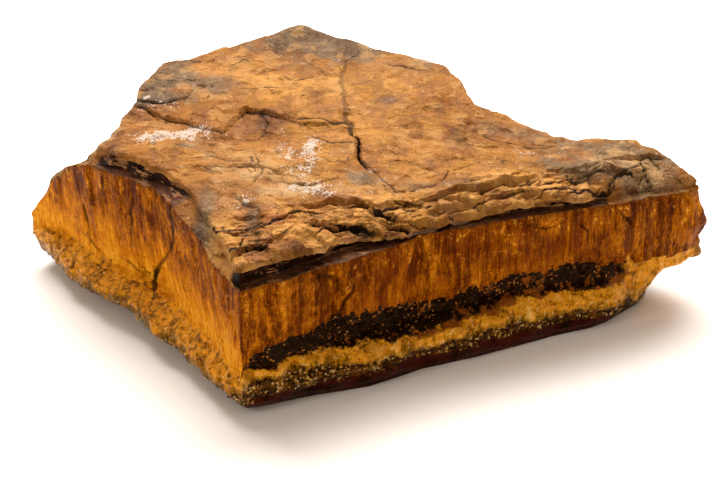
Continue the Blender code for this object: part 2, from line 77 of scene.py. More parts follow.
# Each station on the outline is (x, y, rim, foot, seam, lean, slot, u, v, edge):
#   x, y   the fibre band's face in plan
#   rim    how far the grey band stands out of that face
#   foot   how far the sole's lower edge stands in from the grey band
#   seam   height of the top of the fibre band
#   lean   how far that top stands in from the face's foot
#   slot   depth of the slot between the fibre band and the cap's lip
#   u, v   the cap's upper edge in plan
#   edge   height of the cap's upper edge
FRONT_CORNER = (-17.5, -35.7, 0.4, 3.4, 22.3, 0.0, 1.2, -17.7, -34.2, 25.6)
RIGHT_CORNER = (55.7, -0.3, -8.2, 1.0, 20.5, 2.0, 0.0, 53.2, -0.2, 21.9)
BACK_CORNER = (-9.0, 36.6, 0.0, 3.0, 21.0, 0.5, 0.0, -10.0, 33.2, 34.5)
LEFT_CORNER = (-55.9, 10.6, -0.8, 6.0, 10.3, 1.2, 0.0, -42.2, 2.0, 27.0)
STATIONS = {
    "front": [
        FRONT_CORNER,
        (-13.5, -33.5, 0.8, 2.6, 22.5, 0.0, 1.6, -13.9, -32.4, 25.8),
        (-6.5, -29.3, 1.6, 1.8, 22.7, 0.0, 1.8, -7.0, -27.8, 25.6),
        (-3.0, -27.3, 2.4, 1.5, 22.7, 0.0, 2.2, -3.4, -24.6, 25.3),
        (0.5, -25.5, 3.0, 1.3, 22.7, 0.0, 2.2, 0.8, -23.4, 24.9),
        (5.0, -22.9, 2.8, 1.1, 22.7, 0.0, 2.2, 4.2, -22.2, 24.4),
        (9.0, -20.3, 2.8, 0.9, 22.7, 0.0, 1.8, 8.7, -20.2, 24.1),
        (17.0, -17.2, 2.6, 0.8, 22.6, 0.0, 1.5, 16.8, -16.8, 24.2),
        (24.5, -14.2, 2.2, 0.8, 22.5, 0.0, 1.5, 24.5, -13.4, 24.4),
        (30.0, -12.2, 1.7, 0.9, 22.3, 0.0, 1.5, 29.8, -11.6, 24.2),
        (33.8, -10.7, 1.8, 1.1, 22.0, 0.0, 1.2, 33.8, -10.8, 23.8),
        (37.0, -9.6, 2.0, 1.4, 21.9, 0.0, 0.8, 36.6, -8.4, 23.6),
        (40.0, -8.4, 1.6, 1.7, 21.8, 0.0, 0.3, 39.6, -7.4, 23.3),
        (44.5, -6.6, 0.0, 2.0, 21.6, 0.1, 0.1, 43.8, -5.4, 23.1),
        (49.0, -4.9, -2.2, 1.8, 21.3, 0.3, 0.0, 47.8, -3.6, 22.7),
        (53.2, -2.8, -6.2, 1.0, 20.9, 1.0, 0.0, 51.4, -2.0, 22.3),
        RIGHT_CORNER,
    ],
    "right": [
        RIGHT_CORNER,
        (54.6, 4.2, -8.0, 1.0, 16.0, 1.0, 0.0, 50.8, 1.6, 23.7),
        (51.0, 8.0, -5.0, 2.5, 16.8, 0.5, 0.0, 47.2, 3.5, 25.2),
        (46.5, 10.8, -1.5, 3.0, 17.5, 0.5, 0.0, 44.4, 5.3, 25.6),
        (40.0, 12.0, 0.5, 3.0, 18.0, 0.5, 0.0, 40.4, 6.8, 25.8),
        (34.5, 11.8, 0.8, 3.0, 18.0, 0.5, 0.0, 36.0, 5.5, 26.0),
        (29.5, 12.8, 1.0, 3.0, 18.5, 0.5, 0.0, 30.8, 5.9, 26.0),
        (25.5, 16.0, 1.0, 3.0, 19.0, 0.5, 0.0, 26.3, 8.4, 26.9),
        (23.0, 20.0, 1.0, 3.0, 19.5, 0.5, 0.0, 22.5, 10.4, 28.4),
        (20.5, 24.5, 1.0, 3.0, 20.0, 0.5, 0.0, 18.7, 11.4, 29.1),
        (17.0, 28.5, 1.0, 3.0, 20.0, 0.5, 0.0, 16.7, 16.0, 30.1),
        (12.5, 31.8, 0.8, 3.0, 20.5, 0.5, 0.0, 14.3, 21.8, 30.9),
        (6.0, 34.3, 0.5, 3.0, 21.0, 0.5, 0.0, 9.5, 26.0, 30.7),
        (-1.0, 35.9, 0.2, 3.0, 21.0, 0.5, 0.0, 0.5, 30.4, 32.4),
        BACK_CORNER,
    ],
    "back": [
        LEFT_CORNER,
        (-53.5, 13.8, 0.0, 4.0, 10.5, 1.0, 0.0, -41.9, 2.6, 27.1),
        (-49.5, 16.0, 0.3, 3.5, 11.0, 0.5, 0.0, -41.2, 3.6, 27.4),
        (-44.5, 19.0, 0.6, 3.5, 11.5, 0.5, 0.0, -39.6, 6.5, 28.2),
        (-41.0, 23.5, 0.8, 3.5, 13.0, 0.5, 0.0, -37.8, 10.6, 28.9),
        (-37.0, 28.5, 0.8, 3.5, 17.0, 0.5, 0.0, -36.9, 15.5, 29.3),
        (-32.0, 31.8, 0.8, 3.5, 19.5, 0.5, 0.0, -36.0, 20.5, 29.9),
        (-26.5, 34.0, 0.6, 3.5, 20.5, 0.5, 0.0, -33.2, 24.6, 30.9),
        (-21.0, 35.6, 0.4, 3.0, 21.0, 0.5, 0.0, -25.8, 26.3, 32.2),
        (-15.5, 36.4, 0.2, 3.0, 21.0, 0.5, 0.0, -17.0, 30.4, 33.7),
        BACK_CORNER,
    ],
    "left": [
        FRONT_CORNER,
        (-19.4, -32.8, 1.6, 5.0, 22.7, 0.0, 0.2, -18.3, -31.8, 25.7),
        (-21.5, -28.8, 2.2, 7.0, 23.3, 0.0, 0.1, -19.8, -28.8, 26.0),
        (-24.0, -23.8, 2.8, 8.0, 24.0, 0.0, 0.1, -21.8, -24.6, 26.4),
        (-26.8, -18.6, 3.2, 8.5, 24.8, 0.0, 0.1, -23.9, -19.4, 27.0),
        (-28.8, -15.2, 4.2, 8.5, 25.4, 0.0, 0.2, -26.2, -14.2, 27.6),
        (-29.6, -13.4, 4.6, 8.5, 25.5, 0.0, 0.5, -28.4, -11.8, 28.0),
        (-31.4, -10.8, 4.4, 8.5, 25.5, 0.0, 0.7, -30.5, -9.4, 28.2),
        (-35.6, -7.4, 3.7, 8.0, 25.5, 0.0, 0.8, -34.8, -6.0, 28.2),
        (-40.1, -4.0, 3.2, 8.0, 25.0, 0.0, 0.5, -39.0, -2.7, 28.1),
        (-42.8, -1.4, 3.3, 7.5, 24.9, 0.0, 0.2, -41.7, -0.2, 26.9),
        (-45.6, 1.8, 3.4, 7.0, 23.4, 0.1, 0.0, -42.4, 0.5, 26.9),
        (-48.5, 5.0, 2.9, 7.0, 21.2, 0.3, 0.0, -42.5, 1.0, 26.9),
        (-52.0, 7.8, 1.3, 6.5, 17.8, 0.5, 0.0, -42.4, 1.5, 27.0),
        (-54.0, 9.3, 0.0, 6.5, 13.6, 0.8, 0.0, -42.3, 1.8, 27.0),
        LEFT_CORNER,
    ],
}

# Spot heights (x, y, z) inside the cap's edge, before its ledges are cut, and how far apart those are
# that are taken from the edge itself.
SPOTS_APART = 1.2
SPOT_HEIGHTS = [
    (0.0, -16.5, 27.2), (0.0, -8.0, 28.0), (0.0, 5.0, 29.2), (15.0, -2.0, 28.0), (30.0, -1.0, 26.9),
    (0.0, 18.0, 30.9), (-15.0, 18.0, 31.6), (-25.0, 10.0, 30.4), (-15.0, 0.0, 29.3),
    (-34.0, 4.0, 29.4), (-31.0, 17.0, 30.6), (-8.0, 28.0, 33.0), (-20.0, -20.0, 27.6), (42.0, 1.0, 26.2),
]

# Ledges are (x, y, drop) stations: the cap is lower by drop in front of the line. The slopes are the
# widths in plan that the drops take.
FRONT_SLOPE = 0.7
UPPER_SLOPE = 1.1
UPPER_LEDGE = [
    (-38, 12.0, 0.0), (-35, 10.5, 0.5), (-31, 6.5, 0.7), (-25, 2.7, 0.7), (-21.8, 2.0, 0.7),
    (-18.4, 9.0, 0.9), (-16, 7.8, 0.8), (-9.5, 5.1, 0.5), (-2, 5.8, 0.2), (1, 6.0, 0.0),
]
PLATEAU_LEDGE = [
    (-22, -22.5, 0.0), (-12, -20.0, 0.3), (-5, -16.5, 0.6), (3, -17.0, 0.8), (6, -15.8, 1.0),
    (18, -11.4, 1.1), (31, -6.6, 1.0), (39, -2.2, 0.9), (46.5, 1.6, 0.6), (49.5, 2.0, 0.0),
]
FLAKY_LEDGE = [
    (-21, -28.6, 0.0), (-17, -29.0, 1.0), (-12.5, -28.6, 1.0), (-8.5, -23.6, 0.8), (-3, -20.8, 0.8),
    (3, -20.6, 0.8), (8, -17.8, 0.9), (17, -14.4, 0.7), (24, -10.9, 0.5), (30, -8.6, 0.0), (40, -5.0, 0.0),
    (48, -1.4, 0.0),
]
LEDGES = [(UPPER_LEDGE, UPPER_SLOPE), (PLATEAU_LEDGE, FRONT_SLOPE), (FLAKY_LEDGE, FRONT_SLOPE)]

# The noise, by its size in plan and its seed, that breaks the ledges off here and there.
LEDGE_BREAKS = (6.0, 4.0, 1.0)
LEDGE_SEED = 72

# Undulation of the broken faces: (wavelength, height) of each octave. BACK_ROUGHNESS is how much more of
# it there is on the sides that are turned to the back.
WALL_SWELLS = [(14.0, 0.7), (4.5, 0.35)]
BAND_SWELLS = [(7.0, 0.5), (3.2, 0.35)]
CAP_SWELLS = [(20.0, 0.5), (7.5, 0.3), (3.4, 0.12)]
LEDGE_SWELLS = [(6.0, 0.7), (2.6, 0.4)]
CRACK_SWELLS = [(2.4, 0.45), (0.9, 0.2)]
BACK_ROUGHNESS = 1.0

# The grid: cells along the front face and away from it, rows that each run between two key heights of a
# side is cut into, and rings from the foot to the middle of the underside.
CELLS_ALONG = 232
CELLS_BACK = 180
ROW_CUTS = (2, 2, 2, 3, 3, 3, 2, 5, 3, 5, 5, 4, 4, 2, 2, 2, 2, 2, 2)
SOLE_RINGS = 6
SOLE_CENTRE = (8.0, -4.0)

# Rows of the top's grid that end at the foot and at the top of the two front ledges, the depth of the top
# from front to back, and the least share of it between one ledge and what is in front of it.
FLAKY_ROWS = (26, 34)
PLATEAU_ROWS = (60, 68)
TOP_DEPTH = 62.0
LEAST_RUN = 0.05

# Cells over which the top's grid takes up the shift of its border.
BORDER_CELLS = 9

# Key rows of a side, by number: the top of the fibres, the underside of the cap's lip and the cap's edge.
SEAM_ROW, UNDER_ROW, EDGE_ROW = 13, 17, 19


# ---------------------------------------------------------------- noise


def smoothstep(x):
    """0 below 0, 1 above 1, and 3x^2 - 2x^3 between them."""
    x = np.clip(x, 0.0, 1.0)
    return x * x * (3.0 - 2.0 * x)


def lattice_value(cell, seed):
    """A repeatable number from -1 to 1 for each corner of a lattice of whole numbers."""
    mixed = (cell.astype(np.int64) + 4096) @ np.array([73856093, 19349663, 83492791]) + seed * 2654435
    mixed = (mixed ^ (mixed >> 13)) * 1274126177 & 0x7FFFFFFF
    mixed = (mixed ^ (mixed >> 15)) * 668265263 & 0x7FFFFFFF
    return (mixed ^ (mixed >> 11)) / 0x3FFFFFFF - 1.0


def noise(points, seed=0):
    """Smooth value noise: the eight corners of each lattice cell, blended by smoothstep."""
    cell = np.floor(points)
    share = smoothstep(points - cell)
    total = np.zeros(len(points))
    for corner in np.ndindex(2, 2, 2):
        weight = np.prod(np.where(corner, share, 1.0 - share), axis=1)
        total += weight * lattice_value(cell + corner, seed)
    return total


def swells(points, octaves, seed):
    """The sum of each octave's noise times its height."""
    return sum(height * noise(points / length, seed + i) for i, (length, height) in enumerate(octaves))


def facets(points, size, seed, tilt=1.0, blend=0.15):
    """Broken facets, about -1 to 1: the lattice holds one scattered centre to a cell, each with a tilted
    plane; a point takes the plane of the nearest centre, blended at the border with the next nearest."""
    points = points / np.asarray(size, float)
    cell = np.floor(points)
    near = np.full((2, len(points)), 9.0)
    value = np.zeros((2, len(points)))
    for step in np.ndindex(3, 3, 3):
        here = cell + step - 1.0
        jitter = np.stack([lattice_value(here, seed + k) for k in (1, 2, 3)], axis=1)
        gap = points - here - 0.5 - 0.42 * jitter
        distance = np.sqrt((gap**2).sum(axis=1))
        plane = 0.6 * lattice_value(here, seed) + tilt * (gap * jitter[:, [1, 2, 0]]).sum(axis=1)
        first, second = distance < near[0], distance < near[1]
        near[1] = np.where(first, near[0], np.where(second, distance, near[1]))
        value[1] = np.where(first, value[0], np.where(second, plane, value[1]))
        near[0] = np.where(first, distance, near[0])
        value[0] = np.where(first, plane, value[0])
    share = 0.5 + 0.5 * smoothstep((near[1] - near[0]) / blend)
    return value[0] * share + value[1] * (1.0 - share)


def flat(plan):
    """Plan points as points of zero height."""
    return np.c_[plan, np.zeros(len(plan))]


# ---------------------------------------------------------------- outline and sides


def dense_side(stations, samples=400):
    """A side's stations read at even steps of its length in plan: rows of station values."""
    table = np.array(stations)
    length = np.r_[0.0, np.cumsum(np.hypot(*np.diff(table[:, :2], axis=0).T))]
    at = np.linspace(0.0, length[-1], samples)
    return np.stack([np.interp(at, length, column) for column in table.T], axis=1)


def outward_normals(ring, reach=240):
    """Outward directions of a closed plan outline that runs anticlockwise, averaged over reach samples."""
    step = np.roll(ring, -1, axis=0) - np.roll(ring, 1, axis=0)
    window = np.hanning(2 * reach + 1)
    wrapped = np.r_[step[-reach:], step, step[:reach]]
    even = np.stack([np.convolve(column, window, "valid") for column in wrapped.T], axis=1)
    outward = np.c_[even[:, 1], -even[:, 0]]
    return outward / np.hypot(*outward.T)[:, None]


def read_sides():
    """Each side's dense station values with the outward normal added as two more columns."""
    sides = {name: dense_side(stations) for name, stations in STATIONS.items()}
    order = [("front", 1), ("right", 1), ("back", -1), ("left", -1)]
    ring = np.concatenate([sides[name][::way, :2] for name, way in order])
    normals = np.split(outward_normals(ring), len(order))
    return {
        name: np.c_[sides[name], normal[::way]]
        for (name, way), normal in zip(order, normals)
    }


SIDES = read_sides()


def on_side(name, share):
    """Station values and normal at a share, 0 to 1, of a side's length."""
    table = SIDES[name]
    at = np.linspace(0.0, 1.0, len(table))
    return np.stack([np.interp(share, at, column) for column in table.T], axis=1)


def squeezed(station):
    """How much the beds are thinned at the tips, where the stone is too low for them."""
    return np.minimum(1.0, (station[:, 4] - 0.6) / (BLACK_TOP + 0.6))


def side_rows(station):
    """Key rows of a side from the floor to the cap's edge, as (height, distance out, share of the way to
    the cap's edge) for each station. Where the grey band stands in from the face, at the tips, tuck shares
    its step out among the rows over it, so that the underside there slopes."""
    rim, foot, seam, lean, slot = station.T[2:7]
    edge = station[:, 9]
    none = 0.0 * rim
    squeeze = squeezed(station)
    black = BLACK_TOP * squeeze
    band = seam - black
    lip = np.maximum(edge, seam + LEAST_CAP)
    under = lip - LIP_THICKNESS
    hung = smoothstep(slot)
    hollow = -0.2 - 0.4 * hung
    tuck = np.minimum(rim, 0.0)
    return [
        (none, rim - foot, none),
        (1.5 * squeeze, rim - 0.45 * foot, none),
        (SOLE_TOP * squeeze, rim - 0.6, none),
        (4.2 * squeeze, rim - 0.16 * tuck, none),
        (GREY_TOP * squeeze, 0.95 * rim - 0.38 * tuck, none),
        (6.7 * squeeze, 0.6 * rim - 0.14 * tuck, none),
        (GOLD_TOP * squeeze, 0.2 * rim, none),
        ((GOLD_TOP + 0.6) * squeeze, hollow + 0.16 * tuck, none),
        ((BLACK_TOP - 1.2) * squeeze, hollow + 0.12 * tuck, none),
        (black, 0.1 * tuck, none),
        (black + 0.28 * band, 0.1 - 0.1 * lean, none),
        (black + 0.56 * band, -0.3 * lean, none),
        (black + 0.82 * band, -0.7 * lean, none),
        (seam, -0.15 - lean, none),
        (seam + 0.2, -0.15 - lean - slot, 0.04 + 0.06 * hung),
        (0.62 * seam + 0.38 * under, -0.5 * lean - slot, 0.5 - 0.2 * hung),
        (0.3 * seam + 0.7 * under, -0.2 * lean - slot, 0.8 - 0.3 * hung),
        (under, -0.9 * slot, 0.97 - 0.32 * hung),
        (lip - 0.75 * LIP_THICKNESS, 0.3 * np.minimum(slot, 1.0), 0.98 - 0.08 * hung),
        (lip, none, none + 1.0),
    ]


def side_points(name, share, level):
    """Points of an upright side: the outline carried out and up by the key rows, plus undulation along the
    normal. level runs from 0 at the foot to 1 at the cap's edge."""
    station = on_side(name, share)
    rows = np.array(side_rows(station))
    at = level * EDGE_ROW
    low = np.minimum(at.astype(int), EDGE_ROW - 1)
    part = at - low
    each = np.arange(len(share))
    z, out, way = rows[low, :, each].T * (1 - part) + rows[low + 1, :, each].T * part
    normal = station[:, 10:12]
    out = out * np.where(way < 1.0, 1.0, 0.0)
    plan = station[:, :2] + out[:, None] * normal
    plan = plan + way[:, None] * (station[:, 7:9] - station[:, :2])
    rough = 1.0 + BACK_ROUGHNESS * smoothstep(normal[:, 1] * 1.5)
    grainy = 1.0 - smoothstep((z - GOLD_TOP) / 2.0) * smoothstep((station[:, 4] + 0.6 - z) / 0.6)
    shift = rough * swells(np.c_[plan, 0.35 * z], WALL_SWELLS, seed=10)
    shift += rough * grainy * swells(np.c_[plan, z], BAND_SWELLS, seed=20)
    shift *= smoothstep(0.2 + level * 8.0)
    return np.c_[plan + shift[:, None] * normal, z]


def side_edge(name, share, level):
    """One level of a side, from plain shares of its length."""
    return side_points(name, share, np.full(len(share), float(level)))


# ---------------------------------------------------------------- cap


def plate_kernel(points, spots):
    """r^2 log r between each point and each spot."""
    square = ((points[:, None, :] - spots[None, :, :]) ** 2).sum(axis=2)
    return 0.5 * square * np.log(square + 1e-9)


def drop_along(stations, plan):
    """A ledge's own drop at the plan points' x, and none past its ends."""
    return np.interp(plan[:, 0], *np.array(stations, float).T[[0, 2]], left=0.0, right=0.0)


def behind(stations, plan):
    """How far plan points lie behind a ledge's ragged line."""
    x, y = np.array(stations, float).T[:2]
    return plan[:, 1] - np.interp(plan[:, 0], x, y) + swells(flat(plan), LEDGE_SWELLS, seed=70)


def ledge_drop(plan):
    """How much lower the ledges leave the cap at plan points: each drops the ground in front of its line."""
    total = np.zeros(len(plan))
    for stations, slope in LEDGES:
        uneven = 0.35 + 0.65 * smoothstep(0.5 + 1.3 * noise(flat(plan) / LEDGE_BREAKS, LEDGE_SEED))
        total += drop_along(stations, plan) * uneven * smoothstep(0.5 - behind(stations, plan) / slope)
    return total


def known_heights():
    """The spots inside the cap and those just over its edge, as plan points and heights before ledges."""
    inside = np.array(SPOT_HEIGHTS)
    edge = np.unique(np.concatenate([np.array(rows)[:, 7:10] for rows in STATIONS.values()]), axis=0)
    gaps = [np.hypot(*(edge[:i, :2] - spot[:2]).T) for i, spot in enumerate(edge)]
    edge = edge[[i == 0 or gap.min() > SPOTS_APART for i, gap in enumerate(gaps)]]
    over = edge[:, 2] + BROW + ledge_drop(edge[:, :2])
    return np.r_[inside[:, :2], edge[:, :2]], np.r_[inside[:, 2], over]


def spline_weights(spots, heights):
    """Weights of the thin-plate spline, r^2 log r with a plane, that passes through the spot heights."""
    n = len(spots)
    system = np.zeros((n + 3, n + 3))
    system[:n, :n] = plate_kernel(spots, spots)
    system[:n, n:] = np.c_[np.ones(n), spots]
    system[n:, :n] = system[:n, n:].T
    return np.linalg.solve(system, np.r_[heights, np.zeros(3)])


SPOTS, HEIGHTS = known_heights()
SPLINE = spline_weights(SPOTS, HEIGHTS)


def cap_height(plan):
    """Height of the cap before its edge is rounded: thin-plate spline, less ledges, plus undulation."""
    terms = np.c_[plate_kernel(plan, SPOTS), np.ones(len(plan)), plan]
    return terms @ SPLINE - ledge_drop(plan) + swells(flat(plan), CAP_SWELLS, seed=40)


def patch_plan(s, t, level):
    """Plan points inside the ring at a level: a Coons patch, which blends the four sides and takes away
    the flat blend of the corners."""
    front, back = (side_edge(name, s, level)[:, :2] for name in ("front", "back"))
    left, right = (side_edge(name, t, level)[:, :2] for name in ("left", "right"))
    ends = np.array([0.0, 1.0])
    f, r = side_edge("front", ends, level)[:, :2]
    l, b = side_edge("back", ends, level)[:, :2]
    s, t = s[:, None], t[:, None]
    corners = (1 - s) * (1 - t) * f + s * (1 - t) * r + (1 - s) * t * l + s * t * b
    return (1 - t) * front + t * back + (1 - s) * left + s * right - corners


def edge_gap(plan, chunk=6000):
    """Distance of plan points from the cap's edge, and how far the edge there lies below the cap's field."""
    share = np.linspace(0.0, 1.0, 200)
    edge = np.concatenate([side_edge(name, share, 1.0) for name in STATIONS])
    drop = cap_height(edge[:, :2]) - edge[:, 2]
    gaps, drops = [], []
    for start in range(0, len(plan), chunk):
        here = plan[start : start + chunk]
        gap = np.hypot(here[:, None, 0] - edge[None, :, 0], here[:, None, 1] - edge[None, :, 1])
        nearest = gap.argmin(axis=1)
        gaps.append(gap[np.arange(len(here)), nearest])
        drops.append(drop[nearest])
    return np.concatenate(gaps), np.concatenate(drops)


def crossing(stations, samples=90):
    """Share of the way back, for even shares along the front, at which the top's grid meets a ledge."""
    s, t = np.meshgrid(np.linspace(0.0, 1.0, samples), np.linspace(0.0, 0.6, samples), indexing="ij")
    beyond = behind(stations, patch_plan(s.ravel(), t.ravel(), 1.0)).reshape(s.shape)
    first = np.maximum((beyond > 0.0).argmax(axis=1), 1)
    each = np.arange(samples)
    near, far = beyond[each, first - 1], beyond[each, first]
    part = np.clip(near / (near - far), 0.0, 1.0)
    return t[0, first - 1] + part * (t[0, first] - t[0, first - 1])


def row_knots():
    """Shares of the way back of the front ledges' rows, for even shares along the front."""
    half = 0.8 * FRONT_SLOPE / TOP_DEPTH
    flaky = np.maximum(crossing(FLAKY_LEDGE), LEAST_RUN)
    plateau = np.maximum(crossing(PLATEAU_LEDGE), flaky + LEAST_RUN)
    ends = np.zeros(len(flaky)), np.ones(len(flaky))
    return np.array([ends[0], flaky - half, flaky + half, plateau - half, plateau + half, ends[1]])


KNOTS = row_knots()
KNOT_ROWS = np.array((0, *FLAKY_ROWS, *PLATEAU_ROWS, CELLS_BACK)) / CELLS_BACK


def drawn(s, t):
    """Share of the way back for an even share t: straight runs between the ledges' rows at share s."""
    along = np.linspace(0.0, 1.0, KNOTS.shape[1])
    place = np.array([np.interp(s, along, knot) for knot in KNOTS])
    run = np.clip(np.searchsorted(KNOT_ROWS, t, side="right") - 1, 0, len(KNOT_ROWS) - 2)
    part = (t - KNOT_ROWS[run]) / (KNOT_ROWS[run + 1] - KNOT_ROWS[run])
    each = np.arange(len(s))
    return place[run, each] * (1 - part) + place[run + 1, each] * part


# ---------------------------------------------------------------- detail of the cap

# A line's distance over its half width is held to the limit, and is NO_LINE before any is met.
LINE_LIMIT = 20.0
NO_LINE = 99.0

# Cracks and veins: (x, y, half width, depth, darkness) stations along each.
CRACKS = [
    [(-2.3, 27.0, 0.3, 0.10, 0.25), (-2.6, 19.5, 0.5, 0.2, 0.40), (-2.8, 15.2, 0.4, 0.2, 0.45),
     (-2.0, 8.0, 0.4, 0.25, 0.5), (-1.6, 4.4, 0.5, 0.3, 0.7), (-0.9, 1.6, 0.28, 0.6, 0.95),
     (-0.5, -1.0, 0.24, 0.6, 1.0), (-0.5, -3.0, 0.26, 0.7, 1.0), (0.3, -6.4, 0.3, 0.6, 1.0),
     (1.2, -7.8, 0.2, 0.3, 0.8)],
    [(-6.0, -5.6, 0.12, 0.1, 0.5), (-4.4, -6.6, 0.18, 0.15, 0.7), (-2.6, -6.2, 0.12, 0.1, 0.5)],
    [(7.0, -5.0, 0.1, 0.1, 0.4), (9.0, -6.4, 0.16, 0.15, 0.6), (11.0, -6.0, 0.1, 0.1, 0.4)],
    [(3.0, -15.0, 0.12, 0.1, 0.5), (6.6, -16.2, 0.18, 0.2, 0.8), (10.6, -15.0, 0.14, 0.1, 0.6)],
    [(14.0, -11.0, 0.12, 0.1, 0.5), (18.0, -10.0, 0.18, 0.2, 0.8), (23.0, -8.6, 0.14, 0.1, 0.6)],
    [(-26.0, -6.0, 0.12, 0.1, 0.5), (-23.0, -5.0, 0.18, 0.15, 0.6), (-20.0, -6.4, 0.12, 0.1, 0.5)],
    [(0.2, -5.2, 0.2, 0.25, 0.8), (2.1, -7.5, 0.18, 0.25, 0.6), (3.5, -11.2, 0.18, 0.2, 0.5),
     (5.6, -13.4, 0.22, 0.3, 0.8), (8.1, -12.6, 0.2, 0.25, 0.7), (10.9, -12.0, 0.16, 0.2, 0.4),
     (12.7, -9.6, 0.2, 0.25, 0.8), (14.0, -7.6, 0.18, 0.2, 0.6), (17.0, -6.3, 0.18, 0.15, 0.5),
     (18.8, -5.3, 0.12, 0.1, 0.3)],
    [(-10.3, 6.3, 0.2, 0.2, 0.8), (-6.8, 6.0, 0.22, 0.2, 0.8), (-2.4, 5.4, 0.3, 0.3, 0.8)],
    [(-7.6, 1.2, 0.18, 0.15, 0.7), (-5.0, -0.9, 0.25, 0.2, 0.8), (-1.4, -0.7, 0.18, 0.15, 0.7)],
    [(-16.0, 7.8, 0.3, 0.3, 0.7), (-14.6, 4.6, 0.25, 0.3, 0.6), (-15.6, 1.5, 0.2, 0.2, 0.5)],
    [(-16.2, -5.5, 0.2, 0.15, 0.6), (-15.4, -9.0, 0.25, 0.2, 0.6), (-16.6, -12.0, 0.2, 0.15, 0.5)],
    [(-19.0, -15.5, 0.4, 0.2, 0.4), (-17.5, -17.8, 0.6, 0.3, 0.6), (-15.6, -18.8, 0.45, 0.2, 0.5),
     (-15.0, -21.5, 0.35, 0.15, 0.35), (-16.2, -25.0, 0.4, 0.15, 0.4), (-14.8, -28.5, 0.3, 0.15, 0.4)],
    [(-19.5, 14.6, 0.15, 0.15, 0.6), (-16.0, 15.2, 0.22, 0.2, 0.7), (-12.5, 14.9, 0.15, 0.1, 0.5)],
    [(-13.0, 17.8, 0.15, 0.1, 0.5), (-10.5, 17.1, 0.22, 0.2, 0.7), (-8.0, 17.9, 0.15, 0.1, 0.5)],
    [(4.7, 22.4, 0.2, 0.15, 0.6), (7.0, 21.4, 0.25, 0.2, 0.7), (10.2, 20.6, 0.2, 0.1, 0.5)],
    [(20.0, 3.0, 0.2, 0.15, 0.5), (26.0, 1.0, 0.25, 0.2, 0.6), (31.0, 1.6, 0.2, 0.15, 0.5)],
    [(-22.9, -26.0, 0.5, 0.4, 0.8), (-21.8, -28.6, 0.5, 0.5, 1.0), (-19.6, -30.4, 0.45, 0.5, 1.0),
     (-17.8, -30.4, 0.35, 0.4, 0.9), (-16.8, -28.4, 0.3, 0.3, 0.8)],
    [(38.2, -9.4, 0.5, 0.8, 1.0), (39.3, -6.4, 0.35, 0.5, 0.9), (41.6, -3.9, 0.25, 0.3, 0.8),
     (44.0, -1.6, 0.2, 0.2, 0.7)],
    [(44.7, -0.6, 0.25, 0.3, 0.8), (45.2, -3.0, 0.25, 0.3, 0.8), (47.2, -5.4, 0.2, 0.2, 0.6)],
    [(46.4, 0.8, 0.2, 0.2, 0.7), (48.6, -1.6, 0.22, 0.25, 0.7), (51.3, -1.9, 0.18, 0.2, 0.6)],
    [(40.0, -8.0, 0.3, 0.4, 0.9), (43.4, -6.0, 0.3, 0.4, 0.8), (47.4, -4.4, 0.25, 0.3, 0.8)],
    [(30.0, -11.5, 0.2, 0.2, 0.5), (34.0, -6.4, 0.2, 0.2, 0.6), (37.2, -4.0, 0.2, 0.2, 0.6)],
]

# Steps broken across the cap: (x, y, drop). The ground on the left of the path stands over the right.
STEPS = [
    [(-36.0, 13.0, 0.5), (-32.5, 11.0, 0.6), (-29.0, 12.5, 0.4), (-27.0, 16.0, 0.2)],
    [(-12.5, 21.0, 0.1), (-14.5, 25.5, 0.2), (-13.5, 29.0, 0.2), (-9.0, 31.0, 0.1)],
    [(-4.0, 27.0, 0.1), (-9.0, 24.4, 0.25), (-12.5, 21.0, 0.15)],
    [(3.0, 27.5, 0.2), (0.0, 25.6, 0.5), (-2.4, 22.0, 0.3)],
    [(12.0, 14.0, 0.1), (6.0, 12.4, 0.3), (1.5, 10.4, 0.1)],
    [(-24.0, -8.0, 0.2), (-17.0, -7.0, 0.4), (-12.0, -9.5, 0.2)],
    [(-13.5, -11.0, 0.2), (-8.0, -12.0, 0.35), (-4.0, -11.0, 0.2)],
    [(46.0, -4.6, 0.4), (43.0, -3.6, 0.8), (40.6, -5.2, 0.7), (39.2, -8.0, 0.5)],
    [(51.0, -2.2, 0.3), (48.0, -1.2, 0.7), (45.2, -1.8, 0.8), (44.4, -4.4, 0.4)],
]
STEP_REACH = 2.2

# How high the torn edges of flakes stand, and how far to each side that fades.
FLAKE_DROP = 0.35
FLAKE_REACH = 2.0

# Hollows broken into the flaky front: (x, y, half length along x, half width, depth).
PITS = [
    (5.8, -20.6, 1.9, 0.6, 1.5), (-1.0, -22.4, 2.2, 0.5, 1.0), (-5.5, -23.8, 1.8, 0.5, 0.8),
    (3.0, -19.0, 1.8, 0.35, 0.6), (-15.0, -30.0, 1.8, 0.35, 0.8), (38.4, -8.4, 0.9, 0.9, 1.2),
]

# Patches of the cap's skin: (x, y, radius along x, radius along y, strength). The first two grey ones are
# where the back is smooth.
BRIGHT = [
    (-26.0, 19.5, 7.0, 4.0, 0.5), (-15.0, 16.0, 8.0, 4.0, 0.8), (6.0, 17.0, 8.0, 5.0, 0.5),
    (-26.0, -3.5, 5.0, 4.0, 0.4), (4.0, 2.0, 8.0, 6.0, 0.5), (14.0, -6.0, 6.0, 5.0, 0.3),
    (-2.0, -12.0, 6.0, 2.5, 0.5), (-18.0, -25.0, 2.0, 5.0, 0.5), (-4.0, 0.0, 3.0, 4.0, 0.6),
    (4.0, -18.5, 13.0, 2.6, 0.9), (-10.0, -25.5, 6.0, 2.6, 0.8), (24.0, -12.0, 9.0, 2.2, 0.9),
    # The last two bright patches, on the slope in front of the plateau, are painted light on faces turned
    # from the lamp.
    (36.0, -8.0, 5.0, 3.0, 0.6), (20.0, -9.0, 10.0, 2.4, 0.6), (8.0, -14.5, 6.0, 2.4, 0.4),
]
